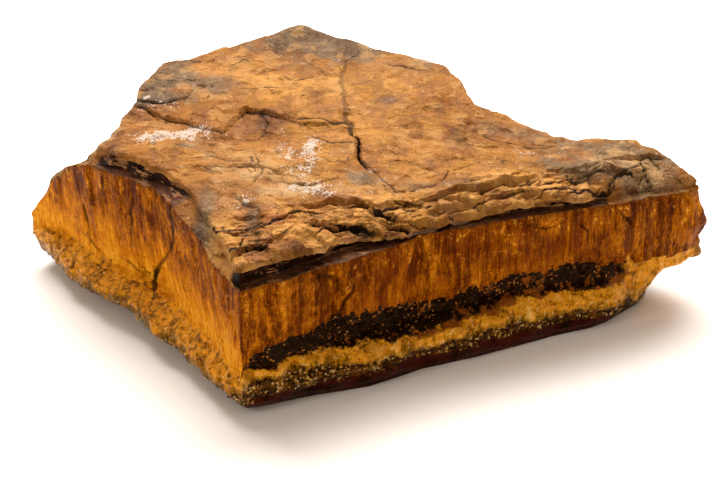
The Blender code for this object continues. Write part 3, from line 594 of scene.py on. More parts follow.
BROWN = [
    (-33.0, 12.0, 5.0, 5.0, 0.5), (-14.5, 5.0, 4.0, 3.0, 0.35), (-13.5, -23.5, 3.5, 2.4, 0.35),
    (30.0, 0.0, 12.0, 5.0, 0.15), (46.0, -4.0, 9.0, 6.0, 0.1),
    (-38.0, 4.0, 5.0, 4.0, 0.3), (10.0, 10.0, 5.0, 3.0, 0.25), (16.0, 2.0, 5.0, 4.0, 0.2),
    (0.0, -22.6, 7.0, 1.0, 0.4),
]
GREY = [
    (-9.0, 28.5, 9.0, 6.0, 1.0), (-2.0, 27.0, 7.0, 5.0, 0.8), (-30.0, 19.5, 5.0, 4.5, 0.6),
    (-34.0, 17.0, 4.0, 6.0, 0.9), (-33.0, 12.6, 5.0, 1.8, 0.7), (0.0, -10.0, 2.6, 2.2, 0.9),
    (-16.3, -20.5, 1.2, 4.0, 0.8), (33.8, -4.7, 8.0, 2.0, 0.7), (46.0, -2.9, 7.0, 5.0, 0.5),
    (41.0, 1.5, 11.0, 3.0, 0.7),
    (11.0, 23.0, 5.0, 5.0, 0.6), (24.0, 5.0, 8.0, 2.5, 0.5), (-9.0, -13.4, 4.0, 1.2, 0.9),
    (14.0, -11.6, 10.0, 1.2, 0.7), (-19.0, -9.0, 4.0, 1.5, 0.4), (4.5, 11.5, 2.5, 1.5, 0.6),
    (-27.5, -2.8, 3.0, 0.9, 0.9), (-23.5, -21.0, 2.2, 9.0, 0.9), (-24.0, 15.0, 4.0, 3.0, 0.5),
]
CRUST = [
    (-30.0, 0.8, 3.6, 1.6, 0.9), (-26.4, 2.4, 3.0, 1.3, 0.9), (-11.5, -3.6, 2.6, 2.8, 0.7),
    (-7.8, -1.4, 1.6, 2.8, 0.95), (-7.6, -6.6, 2.0, 1.4, 0.6), (-11.0, -8.4, 3.0, 1.4, 0.5),
    (-8.0, -13.4, 3.6, 1.9, 0.75), (-33.6, 1.0, 2.4, 1.2, 0.5), (-35.2, 13.6, 0.7, 1.0, 1.0),
    (-17.6, -17.0, 1.6, 2.4, 0.5), (-33.0, 11.0, 2.6, 0.6, 0.6), (4.0, -10.2, 1.8, 1.0, 0.4),
    (26.0, -1.0, 2.6, 0.8, 0.5), (1.6, -8.2, 1.2, 1.0, 0.5), (-2.0, -15.0, 5.0, 0.8, 0.4),
]
RED = [
    (5.0, 11.5, 3.0, 2.0, 0.9), (-12.6, -22.6, 3.2, 2.0, 0.9), (-36.0, 5.0, 4.0, 3.0, 0.5),
    (-4.0, -24.0, 8.0, 2.0, 0.6), (24.0, -12.0, 12.0, 1.4, 0.5), (-30.0, 24.0, 8.0, 2.0, 0.5),
]
PALE = [
    (-45.5, 3.0, 4.0, 4.0, 1.0), (-49.0, 8.0, 3.0, 4.0, 0.8), (-40.0, 8.0, 3.0, 6.0, 0.5),
    (4.0, 29.0, 5.0, 3.0, 0.8), (0.0, -23.4, 6.0, 1.0, 0.5),
    (-14.0, -8.0, 9.0, 6.0, 0.6), (-20.0, -17.0, 5.0, 6.0, 0.5), (-4.0, -14.0, 8.0, 3.0, 0.6),
    (-25.0, 0.0, 7.0, 4.0, 0.5), (46.0, -3.0, 8.0, 5.0, 0.6), (36.0, 0.0, 9.0, 3.0, 0.4),
]
SMOOTH_BACK = GREY[:2]
SKIN_PATCHES = {"bright": BRIGHT, "brown": BROWN, "grey": GREY, "crust": CRUST, "red": RED, "pale": PALE}

# Ground crumbled away at the flaky front, as patches.
CRUMBLE = [(-1.5, -22.8, 6.0, 1.5, 1.0), (5.5, -20.4, 2.6, 1.0, 0.9), (-11.0, -27.4, 3.0, 0.9, 0.5)]


def along_path(points, path):
    """Signed distance of points from a path, over 0 on its left, and the path's other values at the
    nearest place on it."""
    path = np.array(path)
    best = np.full(len(points), np.inf)
    values = np.zeros((len(points), path.shape[1] - 2))
    for start, end in zip(path[:-1], path[1:]):
        run = end[:2] - start[:2]
        share = np.clip((points - start[:2]) @ run / (run @ run), 0.0, 1.0)
        away = points - start[:2] - share[:, None] * run
        gap = np.hypot(*away.T)
        nearer = gap < np.abs(best)
        side = np.where(run[0] * away[:, 1] - run[1] * away[:, 0] < 0.0, -1.0, 1.0)
        best = np.where(nearer, side * gap, best)
        between = start[2:] + share[:, None] * (end[2:] - start[2:])
        values = np.where(nearer[:, None], between, values)
    return best, values.T


def from_middle(plan, x, y, across, back):
    """The square of the distance from an ellipse's middle, which is 1 on the ellipse."""
    return ((plan[:, 0] - x) / across) ** 2 + ((plan[:, 1] - y) / back) ** 2


def patches(plan, table, seed, ragged=0.6):
    """Soft elliptical patches with ragged edges: strength times e^-(r^2), summed and held under 1."""
    warp = swells(flat(plan), [(5.0, ragged), (1.7, 0.7 * ragged)], seed)
    total = np.zeros(len(plan))
    for *ellipse, strength in table:
        total += strength * np.exp(-from_middle(plan, *ellipse) * np.exp(warp))
    return np.minimum(total, 1.0)


def jagged(plan, seed):
    """A broken outline's wander in mm: straight runs and sudden corners at three sizes."""
    place = flat(plan)
    wander = facets(place, (7.0, 7.0, 1.0), seed, blend=0.05)
    wander += 0.5 * facets(place, (2.6, 2.6, 1.0), seed + 5, blend=0.05)
    return wander + 0.2 * noise(place / 0.9, seed + 9)


def torn_edge(plan, distance, seed):
    """Relief of a torn flake edge on its line: raised by half the drop just behind the line, sunk by half
    just in front, fading to each side, and broken off here and there. Also gives the wandering distance
    from the line and how present the edge is."""
    distance = distance + jagged(plan, seed)
    presence = smoothstep(0.5 + 1.8 * noise(flat(plan) / (8.0, 3.0, 1.0), seed + 20))
    step = np.clip(distance / 0.2, -1.0, 1.0)
    fading = np.exp(-np.abs(distance) / FLAKE_REACH)
    return 0.5 * FLAKE_DROP * step * fading * presence, distance, presence


def nearer_line(lines, gap, half, *others):
    """Lines as [distance over half width, other values], with one more line taken where it is nearer."""
    found = np.abs(gap / half) < np.abs(lines[0])
    return [np.where(found, new, old) for new, old in zip((gap / half, *others), lines)]


def no_lines(count):
    """The lines at the start: none near, so of no depth and no darkness."""
    return [np.full(count, NO_LINE), np.zeros(count), np.zeros(count)]


def cracks(plan):
    """The nearest crack at each place: distance over its half width, with its side's sign, its depth and
    its darkness."""
    place = flat(plan)
    warped = plan + np.c_[swells(place, CRACK_SWELLS, 240), swells(place, CRACK_SWELLS, 250)]
    lines = no_lines(len(plan))
    for path in CRACKS:
        gap, values = along_path(warped, path)
        lines = nearer_line(lines, gap, *values)
    return lines


def plan_swirl(plan):
    """Plan points wound round the middle of the smooth back, so that noise on them runs in arcs."""
    away = (plan - (-8.0, 22.0)) / 6.0
    return np.c_[np.hypot(*away.T) * 2.2, np.arctan2(away[:, 1], away[:, 0]) * 1.1, np.zeros(len(plan))]


def cap_ground(plan, front, right):
    """Relief of the cap's open ground: facets at three sizes, sharper ones on the front slope and at its
    right end, and arcs on the smooth back. It dies away towards the right tip."""
    place = flat(plan)
    x = plan[:, 0]
    tip = 1.0 - smoothstep((x - 43.0) / 6.0)
    smooth_back = patches(plan, SMOOTH_BACK, seed=311)
    even = (1.0 - 0.6 * smooth_back) * (1.0 - 0.6 * right)
    relief = even * (0.30 * facets(place, (7.5, 4.5, 1.0), 110) + 0.17 * facets(place, (3.2, 1.8, 1.0), 120))
    relief += even * (0.07 * facets(place, (1.2, 0.8, 1.0), 130) + 0.04 * noise(place / 0.7, 140))
    relief += (front - right) * (0.42 * facets(place, (4.6, 2.8, 1.0), 150, tilt=1.5, blend=0.04))
    relief += (front - right) * (0.16 * facets(place, (2.0, 1.3, 1.0), 155, tilt=1.3, blend=0.05))
    relief += right * tip * 0.9 * facets(place, (6.5, 3.4, 1.0), 160, tilt=1.6, blend=0.08)
    relief += smooth_back * 0.35 * noise(plan_swirl(plan), 170)
    return relief * (0.3 + 0.7 * (1.0 - smoothstep((x - 46.0) / 5.0)))


def flake_edges(plan, lip, flaky, plateau):
    """The torn edges of flakes between the cap's front edge and the plateau: (relief, distance from the edge,
    half width of its dark line, darkness) of each. The dark line is painted shade at the foot of the edge,
    partly also its dark broken face."""
    fading = smoothstep((42.0 - plan[:, 0]) / 4.0)
    for part, near, far, seed in (
        (0.50, lip, flaky, 200), (0.28, flaky, plateau, 210), (0.66, flaky, plateau, 220),
    ):
        torn, distance, presence = torn_edge(plan, (1 - part) * near + part * far, seed)
        half = 0.17 + 0.18 * noise(flat(plan) / (4.0, 2.0, 1.0), seed + 30)
        yield torn * fading, distance + 0.12, half, 0.95 * presence * fading


def ledge_creases(plan, flaky, plateau, upper):
    """The creases at the feet of the ledges, darkened with painted shade, as flake_edges gives its edges."""
    place = flat(plan)
    ragged = jagged(plan, 205)
    for line, distance, wander, shade, whole in (
        (FLAKY_LEDGE, flaky, 0.25, 0.8, 0.6), (PLATEAU_LEDGE, plateau, 0.2, 0.7, 0.6),
        (UPPER_LEDGE, upper, 0.15, 0.75, 1.2),
    ):
        distance = distance + 0.36 + wander * ragged
        presence = smoothstep(drop_along(line, plan) / 0.4)
        presence *= smoothstep(whole + 1.4 * noise(place / LEDGE_BREAKS, LEDGE_SEED))
        sunk = -0.3 * shade * presence * np.exp(-((distance / (0.35 * shade)) ** 2))
        half = (0.24 + 0.18 * noise(place / 3.0, 235)) * shade
        yield sunk, distance, half, presence * shade


def broken_steps(plan):
    """The steps across the cap, each with a line of painted shade at its foot, as flake_edges gives its
    edges.
    """
    for i, path in enumerate(STEPS):
        distance, (drop,) = along_path(plan, path)
        distance = distance + 0.4 * jagged(plan, 260 + 10 * i)
        near = drop * np.exp(-np.abs(distance) / STEP_REACH)
        yield 0.5 * near * np.clip(distance / 0.25, -1.0, 1.0), distance + 0.15, 0.18, smoothstep(near * 1.6)


def hollows(plan):
    """The crumbled ground and the pits of the flaky front: relief, and how hollow each place is."""
    crumble = patches(plan, CRUMBLE, seed=340)
    broken = facets(flat(plan), (1.5, 0.8, 1.0), 190, tilt=1.4, blend=0.05)
    relief = crumble * (0.6 * broken - 0.35)
    hollow = crumble * smoothstep(0.35 - 2.2 * broken)
    warped = plan + 0.5 * np.c_[jagged(plan, 350), jagged(plan, 360)]
    for *ellipse, deep in PITS:
        cut = np.exp(-(from_middle(warped, *ellipse) ** 2))
        relief -= deep * cut
        hollow = np.maximum(hollow, smoothstep(1.6 * cut))
    return relief, hollow


def cap_detail(plan):
    """Fine relief of the cap over its field, how hollow each place is (which the skin darkens, partly as
    painted shade), the distance over half width and the darkness of the nearest crack, flake edge, ledge
    crease or step, whose dark line is painted shade at all but the cracks, and how torn the ground is there."""
    flaky, plateau, upper = (behind(line, plan) for line in (FLAKY_LEDGE, PLATEAU_LEDGE, UPPER_LEDGE))
    lip = plan[:, 1] - np.interp(plan[:, 0], *np.array(STATIONS["front"])[:, 7:9].T)
    front = smoothstep(0.8 - plateau / 3.0)
    right = smoothstep((plan[:, 0] - 34.0) / 6.0) * front
    ratio, depth, dark = cracks(plan)
    relief = cap_ground(plan, front, right) - depth * np.exp(-(ratio**2))
    lines = [ratio, dark]
    edges = (
        *flake_edges(plan, lip, flaky, plateau), *ledge_creases(plan, flaky, plateau, upper),
        *broken_steps(plan),
    )
    for raised, *line in edges:
        relief += raised
        lines = nearer_line(lines, *line)
    sunk, hollow = hollows(plan)
    crust = patches(plan, CRUST, seed=330)
    relief += sunk + 0.06 * crust * (1.0 + noise(flat(plan) / 0.7, 270))
    return relief, hollow, np.clip(lines[0], -LINE_LIMIT, LINE_LIMIT), lines[1], front - 0.7 * right


# ---------------------------------------------------------------- detail of the sides

# How the banded beds lie on the front face: (x, sole top, grey top, gold top, black top).
FRONT_BEDS = [
    (-17.5, 2.2, 5.4, 8.4, 8.8), (-16.0, 2.8, 6.2, 7.8, 10.8), (-12.0, 3.0, 6.4, 8.0, 11.6),
    (-9.0, 3.0, 6.6, 8.0, 12.0), (-3.0, 3.0, 5.6, 7.4, 13.2), (3.0, 3.0, 5.1, 6.9, 12.2),
    (9.6, 2.4, 4.3, 6.4, 10.1), (13.0, 2.6, 4.5, 6.6, 10.3), (19.0, 2.8, 4.6, 6.8, 10.7),
    (22.5, 2.8, 4.4, 7.3, 12.3), (25.6, 2.8, 4.2, 7.6, 12.6), (33.0, 2.6, 3.8, 7.0, 11.7),
    (39.0, 2.0, 3.0, 6.9, 11.3), (43.0, 1.4, 2.4, 7.4, 10.6), (47.0, 1.0, 2.0, 8.0, 9.9),
    (51.0, 0.9, 2.0, 8.6, 9.6), (56.0, 0.9, 2.0, 8.8, 9.4),
]

# How they lie on the left face and on the hidden sides, and the even heights that the materials know them
# by. ABOVE_BEDS is a height over them all.
LEFT_BEDS = (0.8, 3.6, 7.5, 7.6)
HIDDEN_BEDS = (3.0, 5.8, 8.6, 11.4)
EVEN_BEDS = (SOLE_TOP, GREY_TOP, GOLD_TOP, BLACK_TOP)
ABOVE_BEDS = 40.0

# The height at which a leaning fibre is over its plan place.
PLUMB_HEIGHT = 18.0

# Crevices and dark specks in the upright faces: (x, z, half width, depth, darkness) along each, on the
# left face and on the front face.
LEFT_SCARS = [
    [(-29.4, 25.2, 0.3, 0.4, 0.8), (-29.0, 21.5, 0.35, 0.5, 0.9), (-29.8, 16.5, 0.25, 0.4, 0.7),
     (-32.0, 11.9, 0.3, 0.4, 0.6), (-33.0, 9.2, 0.6, 0.9, 1.0), (-33.3, 7.6, 0.4, 0.6, 0.8)],
    [(-45.2, 16.6, 0.2, 0.3, 0.5), (-44.9, 14.2, 0.4, 0.5, 0.8), (-44.4, 11.6, 0.3, 0.4, 0.6),
     (-44.6, 10.6, 0.2, 0.2, 0.3)],
    [(-45.6, 10.6, 0.2, 0.2, 0.3), (-43.8, 9.6, 0.45, 0.4, 0.8), (-42.2, 9.2, 0.25, 0.2, 0.3)],
    [(-38.2, 9.8, 0.25, 0.2, 0.3), (-36.0, 9.0, 0.4, 0.3, 0.5), (-34.4, 8.6, 0.3, 0.3, 0.4)],
    [(-41.0, 24.0, 0.2, 0.2, 0.5), (-41.4, 20.0, 0.25, 0.3, 0.6), (-41.0, 17.0, 0.15, 0.2, 0.3)],
    [(-36.0, 24.0, 0.2, 0.2, 0.5), (-36.4, 19.0, 0.3, 0.3, 0.6), (-36.2, 14.0, 0.2, 0.2, 0.4)],
]
FRONT_SCARS = [
    [(-0.8, 18.2, 0.25, 0.3, 0.6), (-2.0, 15.8, 0.45, 0.5, 0.8), (-3.1, 14.0, 0.3, 0.3, 0.6)],
    [(-6.0, 21.4, 0.5, 0.4, 0.5), (-3.6, 19.6, 0.6, 0.5, 0.5), (-3.0, 17.6, 0.3, 0.3, 0.4)],
    [(41.5, 19.5, 0.3, 0.3, 0.6), (43.0, 18.0, 0.4, 0.4, 0.7), (43.6, 17.0, 0.2, 0.2, 0.4)],
    [(34.5, 19.2, 0.2, 0.2, 0.6), (36.0, 17.5, 0.3, 0.3, 0.7), (36.2, 15.6, 0.2, 0.2, 0.5)],
    [(27.0, 20.5, 0.3, 0.3, 0.5), (29.0, 19.5, 0.3, 0.3, 0.6), (30.5, 19.8, 0.2, 0.2, 0.5)],
]


def side_kinds():
    """1 on the front, on the two hidden and on the left sides' columns of the grid in turn, else 0."""
    counts = [CELLS_ALONG, CELLS_BACK, CELLS_ALONG, CELLS_BACK]
    return (np.repeat(which, counts) for which in ((1.0, 0, 0, 0), (0, 1.0, 1.0, 0), (0, 0, 0, 1.0)))


def own_beds(stations):
    """Heights of the tops of the sole, the grey, the gold and the black band at each column."""
    front, hidden, left = side_kinds()
    table = np.array(FRONT_BEDS)
    on_front = np.stack([np.interp(stations[:, 0], table[:, 0], column) for column in table.T[1:]], axis=1)
    return front[:, None] * on_front + hidden[:, None] * HIDDEN_BEDS + left[:, None] * LEFT_BEDS


def even_height(height, beds):
    """Heights carried so that a column's own bed tops fall on the even ones."""
    floor = np.zeros((len(beds), 1))
    knots = np.c_[floor, beds, floor + ABOVE_BEDS]
    even = np.array((0.0, *EVEN_BEDS, ABOVE_BEDS))
    run = np.clip((height[:, None] >= knots[:, 1:-1]).sum(axis=1), 0, len(even) - 2)
    each = np.arange(len(height))
    low, high = knots[each, run], knots[each, run + 1]
    return even[run] + (height - low) / np.maximum(high - low, 1e-6) * (even[run + 1] - even[run])


def scars(points, left, front):
    """The nearest crevice on the left and front faces: distance over half width, depth and darkness."""
    lines = no_lines(len(points))
    wander = np.c_[noise(points / 1.6, 380), noise(points / 1.6, 381)] * 0.3
    for table, here in ((LEFT_SCARS, left > 0.5), (FRONT_SCARS, front > 0.5)):
        for path in table:
            gap, values = along_path(points[:, [0, 2]] + wander, path)
            lines = nearer_line(lines, np.where(here, gap, np.inf), *values)
    return np.clip(lines[0], -LINE_LIMIT, LINE_LIMIT), *lines[1:]


def leaning(points):
    """Points with the fibres' lean taken out, so that a fibre keeps its plan place at every height: the
    left faces' fibres lean down to the right, more so near the groove."""
    x, y, z = points.T
    left_face = smoothstep((-18.0 - x) / 6.0)
    near_groove = smoothstep((-10.0 - y) / 4.0) * left_face
    along = (0.12 * left_face + 0.22 * near_groove) * (z - PLUMB_HEIGHT)
    return np.c_[x + along, y - 0.5 * along, z]


def side_detail(points, station, level, bed, hidden):
    """Fine relief of the sides along the normal, in mm: splintered columns in the fibres, lumps in the
    banded beds, thin laminae in the sole and under the cap, and large blocks on the hidden sides."""
    seam = station[:, 4]
    straight = leaning(points)
    sole = 1.0 - smoothstep((bed - SOLE_TOP + 0.4) / 0.8)
    fibre = smoothstep((bed - BLACK_TOP + 0.4) / 0.8) * (1.0 - smoothstep((points[:, 2] - seam + 0.2) / 0.4))
    wall = smoothstep((points[:, 2] - seam) / 0.4)
    gold = smoothstep((bed - GREY_TOP) / 0.6) * (1.0 - smoothstep((bed - GOLD_TOP) / 0.6))
    grain = (1.0 - sole) * (1.0 - fibre) * (1.0 - wall)
    columns = 0.40 * facets(straight, (4.2, 4.2, 18.0), 400, blend=0.1)
    columns += 0.18 * facets(straight, (1.5, 1.5, 10.0), 410, blend=0.1)
    columns += 0.10 * facets(straight, (0.7, 0.7, 4.0), 420)
    columns -= 0.35 * smoothstep(2.0 * noise(points / (4.0, 4.0, 5.0), 425) - 0.5)
    lumps = (0.42 - 0.12 * gold) * facets(points, (2.6, 2.6, 1.7), 430)
    lumps += (0.28 - 0.22 * gold) * facets(points, 1.1, 440)
    threads = 0.35 * facets(straight, (2.2, 2.2, 5.0), 445) + 0.75 * noise(straight / (2.6, 2.6, 7.0), 447)
    lumps += gold * threads
    laminae = 0.45 * facets(points, (5.5, 5.5, 1.1), 450, blend=0.08)
    laminae += 0.22 * facets(points, (2.2, 2.2, 0.5), 460, blend=0.08)
    blocks = 0.9 * facets(points, (11.0, 11.0, 6.0), 470, blend=0.08)
    blocks += 0.35 * facets(points, (4.0, 4.0, 2.4), 475)
    relief = fibre * columns + grain * lumps + (sole + wall) * laminae + hidden * blocks
    return relief * (1.0 - 0.5 * smoothstep(level * EDGE_ROW - (EDGE_ROW - 1)))


# ---------------------------------------------------------------- the mesh

# What the materials read on the cap and on the underside, where it is neither 0 nor worked out.
ON_CAP = {"bed": 30.0, "over_seam": 10.0}
BELOW = {"over_seam": -20.0, "crack": LINE_LIMIT}

# The materials' slots, in order.
SKIN, FIBRE, BANDS, BROKEN = range(4)


def ring_columns():
    """The grid's columns round the stone, anticlockwise from the front corner: side name and share."""
    s = np.arange(CELLS_ALONG) / CELLS_ALONG
    t = np.arange(CELLS_BACK) / CELLS_BACK
    one_t = np.ones(CELLS_BACK)
    return [
        ("front", s),
        ("right", drawn(one_t, t)),
        ("back", 1.0 - s),
        ("left", drawn(0.0 * one_t, 1.0 - t)),
    ]


def row_levels():
    """Levels of the fine rows: each run between key rows cut evenly."""
    cuts = [np.arange(n) / n + i for i, n in enumerate(ROW_CUTS)]
    return np.r_[np.concatenate(cuts), EDGE_ROW] / EDGE_ROW


def wrapped_sides(levels):
    """All points of the four sides as an array [row, column, xyz], with each column's station values."""
    points, stations = [], []
    for name, share in ring_columns():
        rows = [side_points(name, share, np.full(len(share), level)) for level in levels]
        points.append(np.stack(rows))
        stations.append(on_side(name, share))
    return np.concatenate(points, axis=1), np.concatenate(stations)


def cap_plan():
    """Plan points of the cap's inner grid [along, back], without its border."""
    s, t = np.meshgrid(
        np.arange(1, CELLS_ALONG) / CELLS_ALONG, np.arange(1, CELLS_BACK) / CELLS_BACK, indexing="ij"
    )
    s, t = s.ravel(), t.ravel()
    return patch_plan(s, drawn(s, t), 1.0).reshape(CELLS_ALONG - 1, CELLS_BACK - 1, 2)


def border_shift(shift):
    """The cap's border shift carried inwards over a few cells, so that the grid keeps its order."""
    a, b = CELLS_ALONG, CELLS_BACK
    inner = np.zeros((a - 1, b - 1, 2))
    front, right = shift[1:a], shift[a + 1 : a + b]
    back, left = shift[a + b + 1 : 2 * a + b][::-1], shift[2 * a + b + 1 :][::-1]
    for k in range(BORDER_CELLS):
        fade = 1.0 - (k + 1) / (BORDER_CELLS + 1)
        inner[:, k] += fade * front
        inner[:, -1 - k] += fade * back
        inner[k, :] += fade * left
        inner[-1 - k, :] += fade * right
    return inner


def quads(grid):
    """Faces of a grid of vertex numbers [row, column]."""
    return np.stack([grid[:-1, :-1], grid[:-1, 1:], grid[1:, 1:], grid[1:, :-1]], axis=-1).reshape(-1, 4)


def side_surface(amount):
    """The upright sides with their fine relief, as an array [row, column, xyz], the border's shift in
    plan, and the numbers that the materials read there."""
    levels = row_levels()
    sides, stations = wrapped_sides(levels)
    rows, columns = sides.shape[:2]
    points = sides.reshape(-1, 3)
    station = np.tile(stations, (rows, 1))
    level = np.repeat(levels, columns)
    front, hidden, left = (np.tile(kind, rows) for kind in side_kinds())
    bed = even_height(points[:, 2] / squeezed(station), np.tile(own_beds(stations), (rows, 1)))
    relief = side_detail(points, station, level, bed, hidden)
    ratio, depth, dark = scars(points, left, front)
    relief -= depth * np.exp(-(ratio**2))
    relief *= amount * smoothstep(0.1 + level * 12.0)
    points[:, :2] += relief[:, None] * station[:, 10:12]
    sides = points.reshape(rows, columns, 3)
    shift = relief.reshape(rows, columns)[-1][:, None] * stations[:, 10:12]

    edge_detail, edge_hollow, edge_ratio, edge_dark, edge_torn = cap_detail(sides[-1, :, :2])
    slotted = smoothstep(station[:, 6] / 0.8)
    share = np.clip((levels * EDGE_ROW - UNDER_ROW + 1.0) / (EDGE_ROW - UNDER_ROW + 1.0), 0.0, 1.0)
    sides[:, :, 2] += amount * share[:, None] * np.maximum(edge_detail, -EDGE_DIP)
    row = level * EDGE_ROW
    inside = smoothstep(row - SEAM_ROW) * (1.0 - smoothstep((row - UNDER_ROW) / 1.2))
    # hollow marks the slot between the fibres and the cap's lip, which the materials darken as painted shade.
    hollow = slotted * inside
    hollow[-columns:], ratio[-columns:], dark[-columns:] = edge_hollow, edge_ratio, edge_dark
    x = points[:, 0]
    notch = left * smoothstep(-28.0 - station[:, 0]) * smoothstep(station[:, 0] + 43.0)
    coal = front * smoothstep((47.0 - x) / 8.0) * (1.0 - 0.30 * smoothstep((x - 6.0) / 9.0))
    numbers = {
        "bed": bed, "over_seam": points[:, 2] - station[:, 4], "hollow": hollow, "crack": ratio,
        "crack_dark": dark, "fresh": np.maximum(notch, slotted * front), "coal": coal + 0.7 * hidden,
        "shine": left, "torn": np.tile(edge_torn, rows), "hidden": hidden,
        "tip": smoothstep((x - 47.0) / 5.0),
    }
    return sides, shift, numbers


def cap_surface(shift, amount):
    """The cap inside its border, as an array [along, back, xyz], and the numbers for its materials."""
    plan = cap_plan()
    a, b = plan.shape[:2]
    points = plan.reshape(-1, 2)
    gap, drop = edge_gap(points)
    inward = np.clip(1.0 - gap / (0.6 + 1.5 * np.abs(drop)), 0.0, 1.0)
    detail, hollow, ratio, dark, torn = cap_detail(points)
    height = cap_height(points) - drop * (1.0 - np.sqrt(1.0 - inward**2)) + amount * detail
    cap = np.concatenate([plan + border_shift(shift), height.reshape(a, b, 1)], axis=2)
    return cap, {"hollow": hollow, "crack": ratio, "crack_dark": dark, "torn": torn}


def stone_faces(rows):
    """The faces of the whole surface, as vertex numbers, and the key row of each; the last corner of a
    face with three is its third once more. The sides, of a number of rows, come first, then the cap, the
    rings of the underside and the fan in their middle."""
    a, b = CELLS_ALONG, CELLS_BACK
    columns = 2 * (a + b)
    side_grid = np.arange(rows * columns).reshape(rows, columns)
    edge = side_grid[-1]
    within = (a - 1) * (b - 1)
    first = rows * columns + within
    cap_grid = np.zeros((a + 1, b + 1), int)
    cap_grid[1:-1, 1:-1] = rows * columns + np.arange(within).reshape(a - 1, b - 1)
    cap_grid[:a, 0], cap_grid[a, :b] = edge[:a], edge[a : a + b]
    cap_grid[a:0:-1, b] = edge[a + b : 2 * a + b]
    cap_grid[0, b:0:-1] = edge[2 * a + b :]
    under = first + np.arange(SOLE_RINGS * columns).reshape(SOLE_RINGS, columns)
    rings = np.concatenate([side_grid[:1], under])
    rings = np.c_[rings, rings[:, 0]]
    last = rings[-1]
    middle = np.full(columns, first + under.size)
    fan = np.c_[last[1:], last[:-1], middle, middle]
    grids = (np.c_[side_grid, side_grid[:, 0]], cap_grid.T, rings[::-1])
    faces = np.concatenate([*(quads(grid) for grid in grids), fan])
    region = np.zeros(len(faces), int)
    region[: (rows - 1) * columns] = np.repeat(np.repeat(np.arange(EDGE_ROW), ROW_CUTS), columns)
    region[(rows - 1) * columns : (rows - 1) * columns + a * b] = EDGE_ROW
    return faces, region


def stone_surface(amount):
    """The whole surface: vertices in mm, faces, each face's key row, and the numbers that the materials
    read at the vertices."""
    sides, shift, numbers = side_surface(amount)
    cap, cap_numbers = cap_surface(shift, amount)
    foot = sides[0]
    centre = np.array(SOLE_CENTRE)
    fades = np.linspace(1.0, 0.0, SOLE_RINGS + 2)[1:-1]
    sole = np.stack([np.c_[centre + fade * (foot[:, :2] - centre), 0.0 * foot[:, 2]] for fade in fades])
    parts = [part.reshape(-1, 3) for part in (sides, cap, sole)]
    vertices = np.concatenate([*parts, [[*centre, 0.0]]])
    within, below = len(parts[1]), len(parts[2]) + 1
    values = {}
    for name, number in numbers.items():
        on_cap = cap_numbers.get(name, np.full(within, ON_CAP.get(name, 0.0)))
        values[name] = np.r_[number, on_cap, np.full(below, BELOW.get(name, 0.0))]
    for i, (name, table) in enumerate(SKIN_PATCHES.items()):
        values[name] = patches(vertices[:, :2], table, seed=300 + 6 * i)
    values["fibre"] = leaning(vertices)
    return vertices, *stone_faces(len(sides)), values


def face_materials(vertices, faces, region, values):
    """Which material each face has, from its key row and its ragged place in the beds."""
    middle = vertices[faces].mean(axis=1)
    read = ("bed", "over_seam", "fresh", "hidden", "shine")
    bed, over, fresh, hidden, shine = (values[name][faces].mean(axis=1) for name in read)
    tongues = 1.0 * noise(middle / (1.0, 1.0, 6.0), 500) + 0.6 * noise(middle / (4.0, 4.0, 12.0), 501)
    ragged = swells(middle, [(2.5, 0.4), (0.9, 0.25)], 510)
    chosen = np.where(bed + (0.9 + 1.1 * shine) * tongues > BLACK_TOP, FIBRE, BANDS)
    chosen[bed + ragged < SOLE_TOP - 0.2] = BROKEN
    weathered = hidden * swells(middle, [(9.0, 1.0), (3.0, 0.5), (1.1, 0.3)], 520)
    chosen[(weathered > 0.22) & (bed + 2.0 * ragged > SOLE_TOP + 1.0)] = SKIN
    above = (over + (0.5 + 3.0 * hidden) * ragged > 0.3) | (region >= SEAM_ROW)
    chosen[above] = np.where(fresh[above] > 0.5, BROKEN, SKIN)
    chosen[(region >= UNDER_ROW) & (over + ragged > 0.9)] = SKIN
    chosen[region == EDGE_ROW] = SKIN
    return chosen


def stone_mesh(amount):
    """The stone's mesh in metres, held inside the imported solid's box, with its numbers as attributes."""
    vertices, faces, region, values = stone_surface(amount)
    lowest, highest = (np.array(corner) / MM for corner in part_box("stone"))
    vertices = np.clip(vertices, lowest, highest)
    mesh = bpy.data.meshes.new("tigers_eye_stone")
    loops = [face[:3] if face[2] == face[3] else face for face in faces.tolist()]
    mesh.from_pydata((vertices * MM).tolist(), [], loops)
    slots = face_materials(vertices, faces, region, values).astype(np.int32)
    mesh.polygons.foreach_set("material_index", slots)
    mesh.polygons.foreach_set("use_smooth", np.zeros(len(faces), bool))
    for name, value in values.items():
        kind, field = ("FLOAT_VECTOR", "vector") if value.ndim == 2 else ("FLOAT", "value")
        mesh.attributes.new(name, kind, "POINT").data.foreach_set(field, value.astype(np.float32).ravel())
    mesh.update()
    normals = np.empty(3 * len(vertices), np.float32)
    mesh.vertex_normals.foreach_get("vector", normals)
    mesh.attributes.new("slope", "FLOAT", "POINT").data.foreach_set("value", 1.0 - normals[2::3])
    return mesh


# ---------------------------------------------------------------- materials

